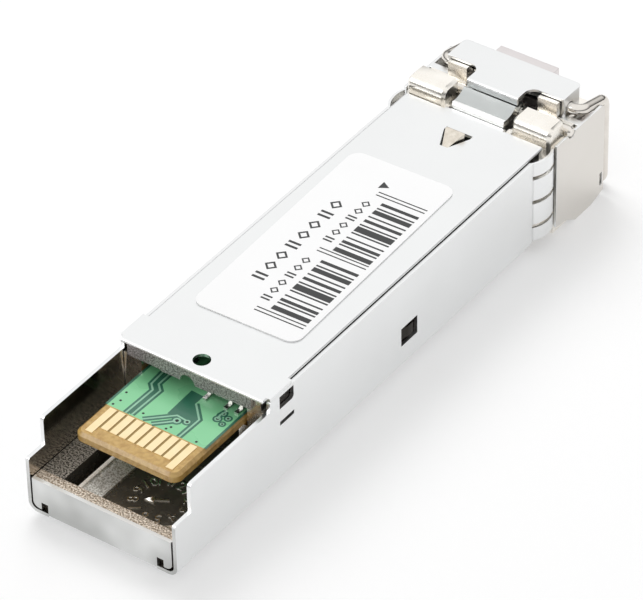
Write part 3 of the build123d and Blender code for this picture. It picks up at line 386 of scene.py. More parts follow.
# Copper tracks lift the mask: a line of light grey green.
MASK_TRACK = Finish("solder_mask_over_track", "#9CCDB0", "#86BD9D", Metal.NONE, (0.25, 0.35), 1.0,
                    Grain(0.2, 0.001), coat=0.3)
# Between the contacts the laminate is painted a darker brown: painted shade between the raised contacts.
CONTACT_GAP_PAINTED_SHADE = Finish("epoxy_glass_painted_shade", "#A88C50", "#8E7440", Metal.NONE, (0.35, 0.5), 0.6,
                         Grain(0.2, 0.002))
# Hard gold on nickel, wiped clean: pale yellow and silky.
GOLD_PLATE = Finish("hard_gold_plated", "#FBEBC3", "#F4DCAB", Metal.FULL, (0.28, 0.4), 0.8,
                    Grain(0.2, 0.002))
# The regulator's tin dipped leads: grey and a little dented.
TINNED_LEAD = Finish("copper_tinned", "#CFCFCC", "#A9A9A5", Metal.FULL, (0.12, 0.25), 0.3,
                     Grain(0.1, 0.01))
# Moulded epoxy of chips: dull black with a fine orange peel. It also stands as painted shade in drilled
# holes.
CHIP_EPOXY_AND_HOLE_SHADE = Finish("epoxy_black_and_hole_shade", "#232426", "#18191A", Metal.NONE, (0.45, 0.6), 0.8,
                    Grain(0.12, 0.004))
# Fired ceramic bodies of the small parts.
CHIP_CERAMIC = Finish("ceramic_fired_tan", "#A98F73", "#8C745B", Metal.NONE, (0.4, 0.55), 0.4,
                      Grain(0.08, 0.003))
# Zirconia, ground and polished: a dense bright white.
ZIRCONIA = Finish("zirconia_polished", "#F2EEE4", "#EAE5D9", Metal.NONE, (0.08, 0.14), 1.0,
                  Grain(0.2, 0.0005), ior=2.1)
# Carbon-filled silicone of the shielding rings.
SHIELD_RUBBER = Finish("silicone_carbon_filled", "#2C2C2E", "#222224", Metal.NONE, (0.6, 0.75), 0.6,
                       Grain(0.1, 0.004), ior=1.41)
# Polyimide film over copper: amber and glossy.
POLYIMIDE = Finish("polyimide_film", "#B5701E", "#9C5C14", Metal.NONE, (0.2, 0.3), 1.5,
                   Grain(0.3, 0.001))
# Gap filler: soft grey silicone, dull.
GAP_FILLER = Finish("silicone_gap_filler", "#A7A8AC", "#96979B", Metal.NONE, (0.7, 0.85), 0.8,
                    Grain(0.1, 0.006), ior=1.41)
# Metallised polymer of the fibre socket: pale, with a warm cast.
SOCKET_POLYMER = Finish("polymer_moulded_metallised", "#E4DFDF", "#DAD5D4", Metal.FULL,
                        (0.34, 0.46), 1.5, Grain(0.15, 0.003))


class Facing(Enum):
    """Direction in which faces look."""

    UP = (0.0, 0.0, 1.0)
    CARD_EDGE = (0.0, -1.0, 0.0)
    OUTWARDS = (1.0, 0.0, 0.0)


@dataclass(frozen=True)
class Region:
    """Faces of a piece that have a finish of their own.

    Attributes:
        finish: their finish.
        low: lowest corner of a box round the faces' centres, in module millimetres.
        high: highest corner of that box.
        facing: direction in which they face, or nothing for all.
        mirrored: whether the box counts on both sides of the module.
    """

    finish: Finish
    low: Point
    high: Point
    facing: Facing | None = None
    mirrored: bool = False

    def holds(self, face: bpy.types.MeshPolygon) -> bool:
        """Tells whether a face belongs to the region.

        Args:
            face: face of a mesh in the frame's metres.

        Returns:
            True if its centre and its direction fit.
        """
        spot = (Vector(face.center) - place(0, 0, 0)) / MM
        across = -1.0 if self.mirrored and spot.x < 0 else 1.0
        spot.x *= across
        inside = all(self.low[i] <= spot[i] <= self.high[i] for i in range(3))
        if not inside or self.facing is None:
            return inside
        normal = Vector((face.normal.x * across, face.normal.y, face.normal.z))
        return normal.dot(Vector(self.facing.value)) > SQUARE_ON

    @staticmethod
    def paint(piece: bpy.types.Object, regions: Sequence["Region"]) -> None:
        """Gives a piece the finishes of its regions.

        Args:
            piece: the piece, with its first finish.
            regions: its regions; where two hold a face, the later one counts.
        """
        for index, region in enumerate(regions, start=1):
            piece.data.materials.append(region.finish.make())
            for face in piece.data.polygons:
                if region.holds(face):
                    face.material_index = index


def new_piece(name: str, mesh: bpy.types.Mesh, finish: Finish, body: str = "module") -> bpy.types.Object:
    """Links a mesh as a piece that rides on a body.

    Args:
        name: the piece's name.
        mesh: its mesh, in metres at its place.
        finish: its finish.
        body: name of the body that it rides on.

    Returns:
        The new object.
    """
    mesh.materials.clear()
    mesh.materials.append(finish.make())
    piece = bpy.data.objects.new(name, mesh)
    bpy.context.scene.collection.objects.link(piece)
    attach(piece, body)
    return piece


def dress(node: str, finish: Finish) -> None:
    """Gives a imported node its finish.

    Args:
        node: the node's name.
        finish: its finish.
    """
    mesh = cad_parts[node].data
    mesh.materials.clear()
    mesh.materials.append(finish.make())


def mesh_from(name: str, build: bmesh.types.BMesh) -> bpy.types.Mesh:
    """Turns a bmesh in module millimetres into a mesh in the frame's metres.

    Args:
        name: the mesh's name.
        build: the bmesh, which is freed.

    Returns:
        The new mesh.
    """
    bmesh.ops.recalc_face_normals(build, faces=build.faces)
    mesh = bpy.data.meshes.new(name)
    build.to_mesh(mesh)
    build.free()
    mesh.transform(Matrix.Translation(place(0, 0, 0)) @ Matrix.Scale(MM, 4))
    return mesh


def built_piece(name: str, build: bmesh.types.BMesh, finish: Finish) -> bpy.types.Object:
    """Turns a bmesh in module millimetres into a piece that rides on the module."""
    return new_piece(name, mesh_from(name, build), finish)


def applied(worker: bpy.types.Object) -> bpy.types.Mesh:
    """Mesh of an object with its modifiers applied."""
    graph = bpy.context.evaluated_depsgraph_get()
    return bpy.data.meshes.new_from_object(worker.evaluated_get(graph))


def eased_copy(name: str, node: str, finish: Finish, width_mm: float, body: str = "module",
               regions: Sequence[Region] = (),
               cut_y: Sequence[float] = ()) -> bpy.types.Object:
    """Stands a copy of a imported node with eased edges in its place.

    Args:
        name: the piece's name.
        node: the node that it replaces.
        finish: its finish.
        width_mm: width of the eased edge.
        body: name of the body that it rides on.
        regions: faces with a finish of their own.
        cut_y: places along the module at which faces are divided, in millimetres.

    Returns:
        The piece.
    """
    build = bmesh.new()
    build.from_mesh(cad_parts[node].data)
    bmesh.ops.scale(build, vec=(1 / MM, 1 / MM, 1 / MM), verts=build.verts)
    bmesh.ops.remove_doubles(build, verts=build.verts, dist=WELD_MM)
    bmesh.ops.dissolve_limit(build, angle_limit=math.radians(FLAT_DEGREES), verts=build.verts,
                             edges=build.edges)
    for level in cut_y:
        bmesh.ops.bisect_plane(build, geom=[*build.verts, *build.edges, *build.faces],
                               plane_co=place(0, level, 0) / MM, plane_no=(0, 1, 0))
    raw = bpy.data.meshes.new(name)
    build.to_mesh(raw)
    build.free()
    worker = bpy.data.objects.new(name + "_worker", raw)
    bpy.context.scene.collection.objects.link(worker)
    bevel = worker.modifiers.new("eased", "BEVEL")
    bevel.width = width_mm
    bevel.segments = EASE_STEPS
    bevel.limit_method = "ANGLE"
    bevel.angle_limit = math.radians(EASE_DEGREES)
    bevel.use_clamp_overlap = True
    mesh = applied(worker)
    mesh.shade_smooth()
    mesh.set_sharp_from_angle(angle=math.radians(SMOOTH_DEGREES))
    worker.modifiers.remove(bevel)
    worker.data = mesh
    flat = worker.modifiers.new("even_faces", "WEIGHTED_NORMAL")
    flat.keep_sharp = True
    mesh = applied(worker)
    bpy.data.objects.remove(worker)
    mesh.transform(Matrix.Scale(MM, 4))
    piece = new_piece(name, mesh, finish, body)
    Region.paint(piece, regions)
    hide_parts(node)
    return piece


def add_box(build: bmesh.types.BMesh, low: Point, high: Point, turn: Matrix | None = None) -> None:
    """Adds a closed box between two corners, in module millimetres.

    Args:
        build: bmesh that gets it.
        low: lowest corner.
        high: highest corner.
        turn: matrix that moves it afterwards.
    """
    made = bmesh.ops.create_cube(build, size=1.0)["verts"]
    for vert in made:
        vert.co = Vector([low[i] + (vert.co[i] + 0.5) * (high[i] - low[i]) for i in range(3)])
    if turn:
        bmesh.ops.transform(build, matrix=turn, verts=made)


def add_ribbon(build: bmesh.types.BMesh, route: Sequence[tuple[float, float]], width: float,
               low: float, high: float) -> None:
    """Adds a flat closed ribbon with mitred corners along a route.

    Args:
        build: bmesh that gets it.
        route: points (X, Y) along its middle.
        width: its width.
        low: level of its underside.
        high: level of its top.
    """
    # A sharp bend's mitre grows no longer than this cosine lets it.
    sharpest = 0.5
    points = [Vector(p) for p in route]
    left, right = [], []
    for index, point in enumerate(points):
        before = (point - points[index - 1]).normalized() if index else None
        after = (points[index + 1] - point).normalized() if index + 1 < len(points) else None
        along = ((before or after) + (after or before)).normalized()
        side = Vector((-along.y, along.x))
        leading = after or before
        reach = width / 2 / max(sharpest, side.dot(Vector((-leading.y, leading.x))))
        left.append(point + side * reach)
        right.append(point - side * reach)
    rows = [[build.verts.new((p.x, p.y, z)) for p in line]
            for z in (low, high) for line in (left, right)]
    low_left, low_right, top_left, top_right = rows
    for a in range(len(points) - 1):
        b = a + 1
        build.faces.new((top_left[a], top_left[b], top_right[b], top_right[a]))
        build.faces.new((low_left[a], low_right[a], low_right[b], low_left[b]))
        build.faces.new((low_left[a], low_left[b], top_left[b], top_left[a]))
        build.faces.new((low_right[a], top_right[a], top_right[b], low_right[b]))
    for a in (0, -1):
        build.faces.new((low_left[a], top_left[a], top_right[a], low_right[a]))


def add_ring(build: bmesh.types.BMesh, centre: tuple[float, float], inner: float, outer: float,
             low: float, high: float, steps: int = 24) -> None:
    """Adds a closed flat ring, or a disc where the inner radius is zero.

    Args:
        build: bmesh that gets it.
        centre: its middle (X, Y).
        inner: its inner radius.
        outer: its outer radius.
        low: level of its underside.
        high: level of its top.
        steps: number of its corners.
    """
    turns = [2 * math.pi * i / steps for i in range(steps)]

    def circle(radius: float, z: float) -> list[bmesh.types.BMVert]:
        """Vertices round the middle at one radius and one level."""
        return [build.verts.new((centre[0] + radius * math.cos(t), centre[1] + radius * math.sin(t), z))
                for t in turns]

    outer_low, outer_top = circle(outer, low), circle(outer, high)
    if inner <= 0:
        build.faces.new(outer_top)
        build.faces.new(outer_low)
        loops = [(outer_low, outer_top)]
    else:
        inner_low, inner_top = circle(inner, low), circle(inner, high)
        loops = [(outer_low, outer_top), (outer_top, inner_top), (inner_top, inner_low),
                 (inner_low, outer_low)]
    for one, two in loops:
        for i in range(steps):
            j = (i + 1) % steps
            build.faces.new((one[i], one[j], two[j], two[i]))


@dataclass
class Housing:
    """Sheet-metal housing: can, cover and nose shroud with eased edges.

    Attributes:
        ease: width of the tumbled edge.
        inside: inner faces of the can, rolled only.
        flange: near face of the cover's flange.
        ribs: the cover's folded edges, seen through the can's windows and painted in shade.
        tab: outer face of the can's end tab, with painted reflections in grey.
        sides: outer side faces of the shroud, painted darker as shade.
    """

    ease: float = 0.06
    inside: Region = Region(ROLLED_STEEL, (-6.45, 0.31, 0.25), (6.45, 45.7, 8.6))
    flange: Region = Region(BENT_STEEL, (-6.0, 11.0, 7.0), (6.0, 11.08, 8.3), Facing.CARD_EDGE)
    ribs: Region = Region(HIDDEN_PAINTED_SHADE_ZINC, (5.9, 12.3, 7.0), (6.5, 45.0, 8.1), mirrored=True)
    tab: Region = Region(TAB_PAINTED_REFLECTION_STEEL, (-6.0, -0.1, 0.2), (6.0, 0.1, 3.0), Facing.CARD_EDGE)
    sides: Region = Region(SHROUD_SIDE_PAINTED_SHADE_STEEL, (6.5, 46.0, -0.6), (7.3, 57.0, 8.8), Facing.OUTWARDS, True)

    def build(self) -> Iterable[bpy.types.Object]:
        """Builds the three sheet pieces.

        Returns:
            The pieces.
        """
        regions = {"can": (self.inside, self.tab), "cover": (self.flange, self.ribs),
                   "nose_shroud": (self.sides,)}
        return [eased_copy("steel_" + node, node, STAMPED_STEEL, self.ease,
                           regions=own) for node, own in regions.items()]


@dataclass
class Casting:
    """Die casting with the numerals of its date dial.

    Attributes:
        ease: width of the eased edge.
        dial_x: middle of the dial across the module.
        dial_y: middle of the dial along the module.
        numeral_count: number of the numerals round the dial.
        numeral_r: radius on which they stand.
        numeral_h: height of a numeral.
        numeral_steps: steps in each curve of a numeral.
        floor: level of the pocket's floor.
        relief: how far the numerals stand up.
        numeral_weld: points of a numeral nearer than this are welded.
        rim_y: far edge of the coarse rim band.
        flange_y: the cover's flange, under which the view into the module ends.
        oxide_y: far end of the sides painted in shade, before the shielding fingers.
        side_x: outer side of the floor and the rails, under the can.
        step: levels between which the high step of the floor lies.
        shelf: levels between which the shelf beside the dial lies.
        pocket: levels between which the dial's pocket lies.
    """

    ease: float = 0.07
    dial_x: float = 2.6
    dial_y: float = 3.7
    numeral_count: int = 12
    numeral_r: float = 2.0
    numeral_h: float = 1.25
    numeral_steps: int = 2
    floor: float = 2.6
    relief: float = 0.08
    numeral_weld: float = 0.0001
    rim_y: float = 1.25
    flange_y: float = 11.0
    oxide_y: float = 44.0
    side_x: float = 6.4
    step: tuple[float, float] = (2.9, 3.05)
    shelf: tuple[float, float] = (2.7, 2.9)
    pocket: tuple[float, float] = (2.5, 2.7)

    def skins(self) -> tuple[Region, ...]:
        """Works out the fields of the floor and the sides, each with its own finish; the pad, the
        recesses, the sides, the snap teeth and the front edge get painted shade, and the rim and pad
        painted glints.

        Returns:
            The fields: rim, pad, channel, shelf, pocket, sides, snap teeth and front edge.
        """
        side = self.side_x
        return (
            Region(RIM_GRIT_PAINTED_GLINTS, (-side, 0.3, self.step[0]), (side, self.rim_y, self.step[1]), Facing.UP),
            Region(SHADED_ZINC, (-side, self.rim_y, self.step[0]), (-4.2, self.flange_y, self.step[1]),
                   Facing.UP),
            Region(RECESS_PAINTED_SHADE_ZINC, (-4.4, 1.0, 0.9), (-2.9, self.flange_y, self.step[0])),
            Region(SPECKLED_ZINC, (-2.8, 1.2, self.shelf[0]), (-0.85, 47.0, self.shelf[1]), Facing.UP),
            Region(RECESS_PAINTED_SHADE_ZINC, (-1.1, 1.2, self.pocket[0]), (side, 47.0, self.pocket[1]), Facing.UP),
            # The sides, the snap teeth and the front edge are painted in shade.
            Region(HIDDEN_PAINTED_SHADE_ZINC, (6.3, -1.0, 0.2), (side, self.oxide_y, 8.4), Facing.OUTWARDS, True),
            Region(HIDDEN_PAINTED_SHADE_ZINC, (6.41, 12.0, 0.5), (6.95, self.oxide_y, 8.2), mirrored=True),
            Region(HIDDEN_PAINTED_SHADE_ZINC, (-side, 0.2, 0.2), (side, 0.5, self.step[0]), Facing.CARD_EDGE))

    def numerals(self) -> bpy.types.Object:
        """Builds the cast numerals, one for each part of the dial.

        Returns:
            The piece.
        """
        build = bmesh.new()
        for number in range(1, self.numeral_count + 1):
            curve = bpy.data.curves.new("numeral", "FONT")
            curve.body = str(number)
            curve.size = self.numeral_h
            curve.extrude = self.relief / 2
            curve.resolution_u = self.numeral_steps
            curve.align_x = "CENTER"
            curve.align_y = "CENTER"
            worker = bpy.data.objects.new("numeral", curve)
            bpy.context.scene.collection.objects.link(worker)
            bpy.context.view_layer.update()
            mesh = bpy.data.meshes.new_from_object(worker)
            bpy.data.objects.remove(worker)
            turn = Matrix.Rotation(math.radians(-360 * number / self.numeral_count), 4, "Z")
            spot = Matrix.Translation((self.dial_x, self.dial_y, self.floor + self.relief / 2))
            mesh.transform(spot @ turn @ Matrix.Translation((0, self.numeral_r, 0)))
            build.from_mesh(mesh)
            bpy.data.meshes.remove(mesh)
        bmesh.ops.remove_doubles(build, verts=build.verts, dist=self.numeral_weld)
        return built_piece("dial_numerals", build, CAST_NICKEL)

    def build(self) -> Iterable[bpy.types.Object]:
        """Builds the casting and its numerals.

        Returns:
            The pieces.
        """
        body = eased_copy("cast_base", "base_casting", CAST_NICKEL, self.ease,
                          regions=self.skins(), cut_y=(self.rim_y, self.oxide_y))
        return [body, self.numerals()]


@dataclass
class Latch:
    """Rocker, its pin, its spring and the wire bail.

    Attributes:
        ease: width of the rocker's eased edge.
        boss: the rocker's boss, rubbed by the cage.
        lip: the rocker's near face, painted white as a highlight.
        spring_ease: width of the leaf spring's eased edge.
        spring_root: point at which the spring is held; not used.
        spring_keep: share of its height that the pressed spring keeps; not used.
    """

    ease: float = 0.06
    boss: Region = Region(RUBBED_NICKEL, (-1.3, 43.0, 8.0), (1.3, 45.6, 9.2))
    lip: Region = Region(ROCKER_LIP_PAINTED_HIGHLIGHT, (-2.5, 47.7, 7.5), (2.5, 48.3, 9.0))
    spring_ease: float = 0.02
    spring_root: Point = (0.0, 46.0, 6.31)
    spring_keep: float = 0.4

    def build(self) -> Iterable[bpy.types.Object]:
        """Builds the rocker and the spring under it, and dresses the pin and the bail.

        Returns:
            The pieces.
        """
        rocker = eased_copy("ground_rocker", "latch_rocker", GROUND_NICKEL, self.ease, "rocker",
                            regions=(self.boss, self.lip))
        spring = eased_copy("leaf_spring", "latch_spring", DRAWN_WIRE, self.spring_ease)
        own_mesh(spring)
        dress("rocker_pin", DRAWN_WIRE)
        dress("bail", DRAWN_WIRE)
        return [rocker, spring]


@dataclass
class Label:
    """Paper label with a plain pattern of bars and marks.

    Attributes:
        centre: middle of the label (X, Y).
        turn: degrees that it lies off square.
        top: level of its face.
        ink: thickness of the print.
        bars_x: near and far end of the bars.
        bars_y: start and end of the two groups of bars.
        bar_steps: widths of the bars in a group, in modules, over and over.
        gap_steps: widths of the gaps between them.
        module: width of the narrowest bar.
        guards_x: near and far end of the long thin bars.
        guards_y: places of their pairs.
        guard_gap: distance between the two bars of a pair.
        guard_w: width of such a bar, in modules.
        marks: rows of plain marks as (X of the middle, Y from, Y to, count, half size).
        stroke: width of a mark's line, as a share of its half size.
        double_every: of so many marks, the first is a double stroke and the others are diamonds.
        double_at: where the two strokes start, as shares of the half size from the middle.
        arrow: middle and radius of the small triangle.
    """

    centre: tuple[float, float] = (-0.3, 28.3)
    turn: float = 1.6
    top: float = 8.61
    ink: float = 0.006
    bars_x: tuple[float, float] = (0.48, 3.8)
    bars_y: tuple[tuple[float, float], ...] = ((19.85, 27.0), (28.0, 34.9))
    bar_steps: tuple[int, ...] = (3, 1, 2, 1, 1, 4, 1, 2, 1)
    gap_steps: tuple[int, ...] = (2, 1, 2, 3, 1, 1, 2, 2)
    module: float = 0.165
    guards_x: tuple[float, float] = (-0.5, 3.85)
    guards_y: tuple[float, ...] = (19.1, 27.34, 35.33)
    guard_gap: float = 0.38
    guard_w: float = 0.7
    marks: tuple[tuple[float, float, float, int, float], ...] = (
        (-0.5, 20.75, 25.95, 6, 0.4), (-0.5, 28.95, 34.0, 6, 0.4), (-2.35, 22.6, 32.75, 8, 0.55))
    stroke: float = 0.42
    double_every: int = 3
    double_at: tuple[float, float] = (-0.6, 0.3)
    arrow: tuple[float, float, float] = (-0.6, 36.6, 0.5)

    def bars(self) -> bpy.types.Object:
        """Builds two groups of bars of stepped widths between pairs of long thin bars.

        Returns:
            The piece.
        """
        build = bmesh.new()
        turn = self.on_label()
        high = self.top + self.ink
        for start, end in self.bars_y:
            y = start
            step = 0
            while y < end:
                stop = min(y + self.module * self.bar_steps[step % len(self.bar_steps)], end)
                add_box(build, (self.bars_x[0], y, self.top), (self.bars_x[1], stop, high), turn)
                y = stop + self.module * self.gap_steps[step % len(self.gap_steps)]
                step += 1
        for first in self.guards_y:
            for y in (first, first + self.guard_gap):
                add_box(build, (self.guards_x[0], y, self.top),
                        (self.guards_x[1], y + self.module * self.guard_w, high), turn)
        return built_piece("label_bars", build, PRINT_BLACK)

    def plain_marks(self) -> bpy.types.Object:
        """Builds rows of plain diamonds and double strokes, and one small triangle.

        Returns:
            The piece.
        """
        build = bmesh.new()
        high = self.top + self.ink
        for x, start, end, count, radius in self.marks:
            pitch = (end - start) / (count - 1)
            line = self.stroke * radius
            for index in range(count):
                y = start + index * pitch
                if index % self.double_every:
                    add_ring(build, (x, y), radius - line, radius, self.top, high, steps=4)
                    continue
                for share in self.double_at:
                    low = y + radius * share
                    add_box(build, (x - radius, low, self.top), (x + radius, low + line, high))
        add_ring(build, self.arrow[:2], 0, self.arrow[2], self.top, high, steps=3)
        bmesh.ops.transform(build, matrix=self.on_label(), verts=build.verts)
        return built_piece("label_marks", build, PRINT_BLACK)

    def on_label(self) -> Matrix:
        """Matrix that turns a shape with the label."""
        middle = Matrix.Translation((self.centre[0], self.centre[1], 0))
        return middle @ Matrix.Rotation(math.radians(self.turn), 4, "Z") @ middle.inverted()

    def build(self) -> Iterable[bpy.types.Object]:
        """Dresses the paper and builds its print.

        Returns:
            The pieces.
        """
        dress("label", LABEL_PAPER)
        return [self.bars(), self.plain_marks()]


class Layer(Enum):
    """Top of each thin layer over the board's face, as a share of a track's height.

    Layers that cross have different tops, so that no two of them share a plane.
    """

    STRIP = 0.1
    PATCH = 0.2
    CLEARANCE = 0.3
    VIA_CLEARANCE = 0.5
    HOLE = 0.6
    VIA_FLOOR = 0.8
    TRACK = 1.0
    VIA_RING = 1.4


@dataclass
class Board:
    """Circuit board with tracks, clearances and vias on its label side.

    Attributes:
        top: level of the board's face.
        copper: height of a track over the face.
        gap_w: width of the clearance round a track.
        gap_step: how much higher each clearance lies than the last, as a share of the copper.
        track_w: width of a track.
        tracks: routes of the tracks.
        edge_x: middle of the bare strip along each side.
        edge_w: width of that strip.
        edge_y: start and end of that strip.
        patch: corners of the field without copper.
        vias: (X, Y, outer radius) of the plated rings.
        via_gap: width of the clearance round a ring.
        via_bore: inner radius of a ring, as a share of its outer radius.
        via_floor: radius of the painted shade in a ring's hole, as the same share.
        holes: (X, Y) of the small holes.
        hole_r: their radius.
        pads: number of contacts.
        pad_pitch: from one contact to the next.
        pad_gap: width of the darker brown strip between two contacts, painted shade.
        pad_y: start and end of that strip.
    """

    top: float = 6.25
    copper: float = 0.008
    gap_w: float = 0.52
    gap_step: float = 0.02
    track_w: float = 0.15
    tracks: tuple[tuple[tuple[float, float], ...], ...] = (
        ((-2.68, 6.68), (-2.59, 9.82), (-3.10, 10.33), (-3.26, 13.0)),
        ((-2.18, 6.77), (-2.08, 10.05), (-2.64, 10.58), (-2.64, 13.0)),
        ((-1.24, 6.81), (0.59, 8.53), (1.48, 8.42)),
        ((-0.38, 6.73), (0.87, 7.94)),
        ((2.12, 6.68), (2.19, 9.02), (0.93, 10.33)),
        ((3.22, 9.84), (3.12, 10.3), (3.27, 10.9)))
    edge_x: float = 4.44
    edge_w: float = 0.2
    edge_y: tuple[float, float] = (6.7, 13.0)
    patch: tuple[tuple[float, float], ...] = (
        (-0.23, 11.36), (-0.14, 8.28), (0.59, 8.53), (1.91, 8.59), (2.13, 9.10), (0.89, 10.18),
        (0.9, 11.3))
    vias: tuple[tuple[float, float, float], ...] = (
        (0.92, 8.04, 0.3), (1.62, 8.33, 0.24), (3.22, 9.84, 0.24), (3.27, 10.54, 0.2),
        (3.84, 10.28, 0.2), (3.84, 9.55, 0.16))
    via_gap: float = 0.14
    via_bore: float = 0.5
    via_floor: float = 0.48
    holes: tuple[tuple[float, float], ...] = (
        (-4.01, 8.53), (-3.81, 7.57), (-4.02, 6.95), (-1.58, 7.34), (1.00, 7.23), (0.80, 6.9),
        (3.47, 6.95))
    hole_r: float = 0.1
    pads: int = 10
    pad_pitch: float = 0.8
    pad_gap: float = 0.18
    pad_y: tuple[float, float] = (4.3, 6.5)

    def level(self, layer: Layer, extra: float = 0.0) -> float:
        """Top of a layer in millimetres, with an extra share of the copper's height."""
        return self.top + self.copper * (layer.value + extra)

    def clearances(self) -> bpy.types.Object:
        """Builds the darker lines and the patch where no copper lies under the mask.

        Returns:
            The piece.
        """
        build = bmesh.new()
        low = self.top - self.copper
        for index, route in enumerate(self.tracks):
            add_ribbon(build, route, self.gap_w, low, self.level(Layer.CLEARANCE, self.gap_step * index))
        for x in (-self.edge_x, self.edge_x):
            strip = [(x, y) for y in self.edge_y]
            add_ribbon(build, strip, self.edge_w, low, self.level(Layer.STRIP))
        bottom = [build.verts.new((x, y, low)) for x, y in self.patch]
        above = [build.verts.new((x, y, self.level(Layer.PATCH))) for x, y in self.patch]
        build.faces.new(bottom)
        build.faces.new(above)
        for i in range(len(self.patch)):
            j = (i + 1) % len(self.patch)
            build.faces.new((bottom[i], bottom[j], above[j], above[i]))
        for x, y, radius in self.vias:
            add_ring(build, (x, y), 0, radius + self.via_gap, low, self.level(Layer.VIA_CLEARANCE))
        return built_piece("mask_clearances", build, MASK_BARE)

    def copper_tracks(self) -> bpy.types.Object:
        """Builds the lighter lines of the tracks and the rings of the vias.

        Returns:
            The piece.
        """
        build = bmesh.new()
        for route in self.tracks:
            add_ribbon(build, route, self.track_w, self.top, self.level(Layer.TRACK))
        for x, y, radius in self.vias:
            add_ring(build, (x, y), radius * self.via_bore, radius, self.top, self.level(Layer.VIA_RING))
        return built_piece("mask_tracks", build, MASK_TRACK)

    def contact_gaps(self) -> bpy.types.Object:
        """Builds the strips of darker brown laminate between the contacts, painted shade.

        Returns:
            The piece.
        """
        build = bmesh.new()
        for index in range(1, self.pads):
            x = (index - self.pads / 2) * self.pad_pitch
            strip = [(x, y) for y in self.pad_y]
            add_ribbon(build, strip, self.pad_gap, self.top, self.level(Layer.TRACK))
        return built_piece("contact_gaps", build, CONTACT_GAP_PAINTED_SHADE)

    def drilled_holes(self) -> bpy.types.Object:
        """Builds dark discs of painted shade in the holes of the vias and in the small holes.

        Returns:
            The piece.
        """
        build = bmesh.new()
        for x, y, radius in self.vias:
            add_ring(build, (x, y), 0, radius * self.via_floor, self.top, self.level(Layer.VIA_FLOOR))
        for x, y in self.holes:
            add_ring(build, (x, y), 0, self.hole_r, self.top - self.copper, self.level(Layer.HOLE))
        return built_piece("drilled_holes", build, CHIP_EPOXY_AND_HOLE_SHADE)

    def build(self) -> Iterable[bpy.types.Object]:
        """Dresses the board and its parts and builds its tracks.

        Returns:
            The pieces.
        """
        dress("circuit_board", SOLDER_MASK)
        for node in ("contacts_label_side", "contacts_far_side"):
            dress(node, GOLD_PLATE)
        for node in ("laser_driver", "receive_amplifier", "controller", "filter_coils"):
            dress(node, CHIP_EPOXY_AND_HOLE_SHADE)
        dress("regulator", TINNED_LEAD)
        dress("chip_parts", CHIP_CERAMIC)
        dress("thermal_pad", GAP_FILLER)
        return [self.clearances(), self.copper_tracks(), self.contact_gaps(), self.drilled_holes()]


@dataclass
class Optics:
    """Fibre socket and the optical parts behind it.

    Attributes:
        ease: width of the socket's eased edge.
    """

    ease: float = 0.06

    def build(self) -> Iterable[bpy.types.Object]:
        """Builds the socket and dresses the optical parts.

        Returns:
            The pieces.
        """
        socket = eased_copy("moulded_socket", "fibre_socket", SOCKET_POLYMER, self.ease)
        for node in ("transmit_optics", "receive_optics"):
            dress(node, TURNED_STEEL)
        for node in ("transmit_sleeve", "receive_sleeve"):
            dress(node, ZIRCONIA)
        for node in ("transmit_flex", "receive_flex"):
            dress(node, POLYIMIDE)
        dress("optics_clamp", STAMPED_STEEL)
        dress("barrel_gaskets", SHIELD_RUBBER)
        return [socket]


@dataclass
class Camera:
    """Camera fitted to the photograph.

    Attributes:
        target: point that it turns about, in module millimetres.
        azimuth: degrees from +Y towards -X of the view.
        elevation: degrees above the floor.
        roll: degrees of roll.
        distance: from the target, in millimetres.
        offset: sideways and upward shift of the target in the view, in millimetres.
        focal_px: focal length in pixels of the photograph.
        middle: pixel of the optical axis.
        frame_px: width and height of the photograph.
        sensor: sensor width in millimetres.
        near: distance from which the camera sees, in millimetres.
    """

    target: Point = (0.0, 25.0, 4.25)
    azimuth: float = 36.313
    elevation: float = 38.799
    roll: float = -1.379
    distance: float = 349.363
    offset: tuple[float, float] = (-1.15, -1.025)
    focal_px: float = 4694.856
    middle: tuple[float, float] = (320.0, 301.0)
    frame_px: tuple[int, int] = (643, 600)
    sensor: float = 36.0
    near: float = 10.0

    def build(self) -> bpy.types.Object:
        """Adds the camera and makes it the scene's.

        Returns:
            The camera.
        """
        a, e, r = (math.radians(v) for v in (self.azimuth, self.elevation, self.roll))
        back = Vector((math.sin(a) * math.cos(e), -math.cos(a) * math.cos(e), math.sin(e)))
        right = Vector((math.cos(a), math.sin(a), 0.0))
        up = back.cross(right)
        rolled_right = right * math.cos(r) + up * math.sin(r)
        rolled_up = up * math.cos(r) - right * math.sin(r)
        eye = place(*self.target) + MM * (
            self.distance * back - self.offset[0] * rolled_right - self.offset[1] * rolled_up)
        data = bpy.data.cameras.new("camera")
        wide, high = self.frame_px
        data.sensor_width = self.sensor
        data.sensor_fit = "HORIZONTAL"
        data.lens = self.focal_px * self.sensor / wide
        data.shift_x = (wide / 2 - self.middle[0]) / wide
        data.shift_y = (self.middle[1] - high / 2) / wide
        data.clip_start = self.near * MM
        camera = bpy.data.objects.new("camera", data)
        turn = Matrix((rolled_right, rolled_up, back)).transposed().to_4x4()
        camera.matrix_world = Matrix.Translation(eye) @ turn
        bpy.context.scene.collection.objects.link(camera)
        bpy.context.scene.camera = camera
        return camera


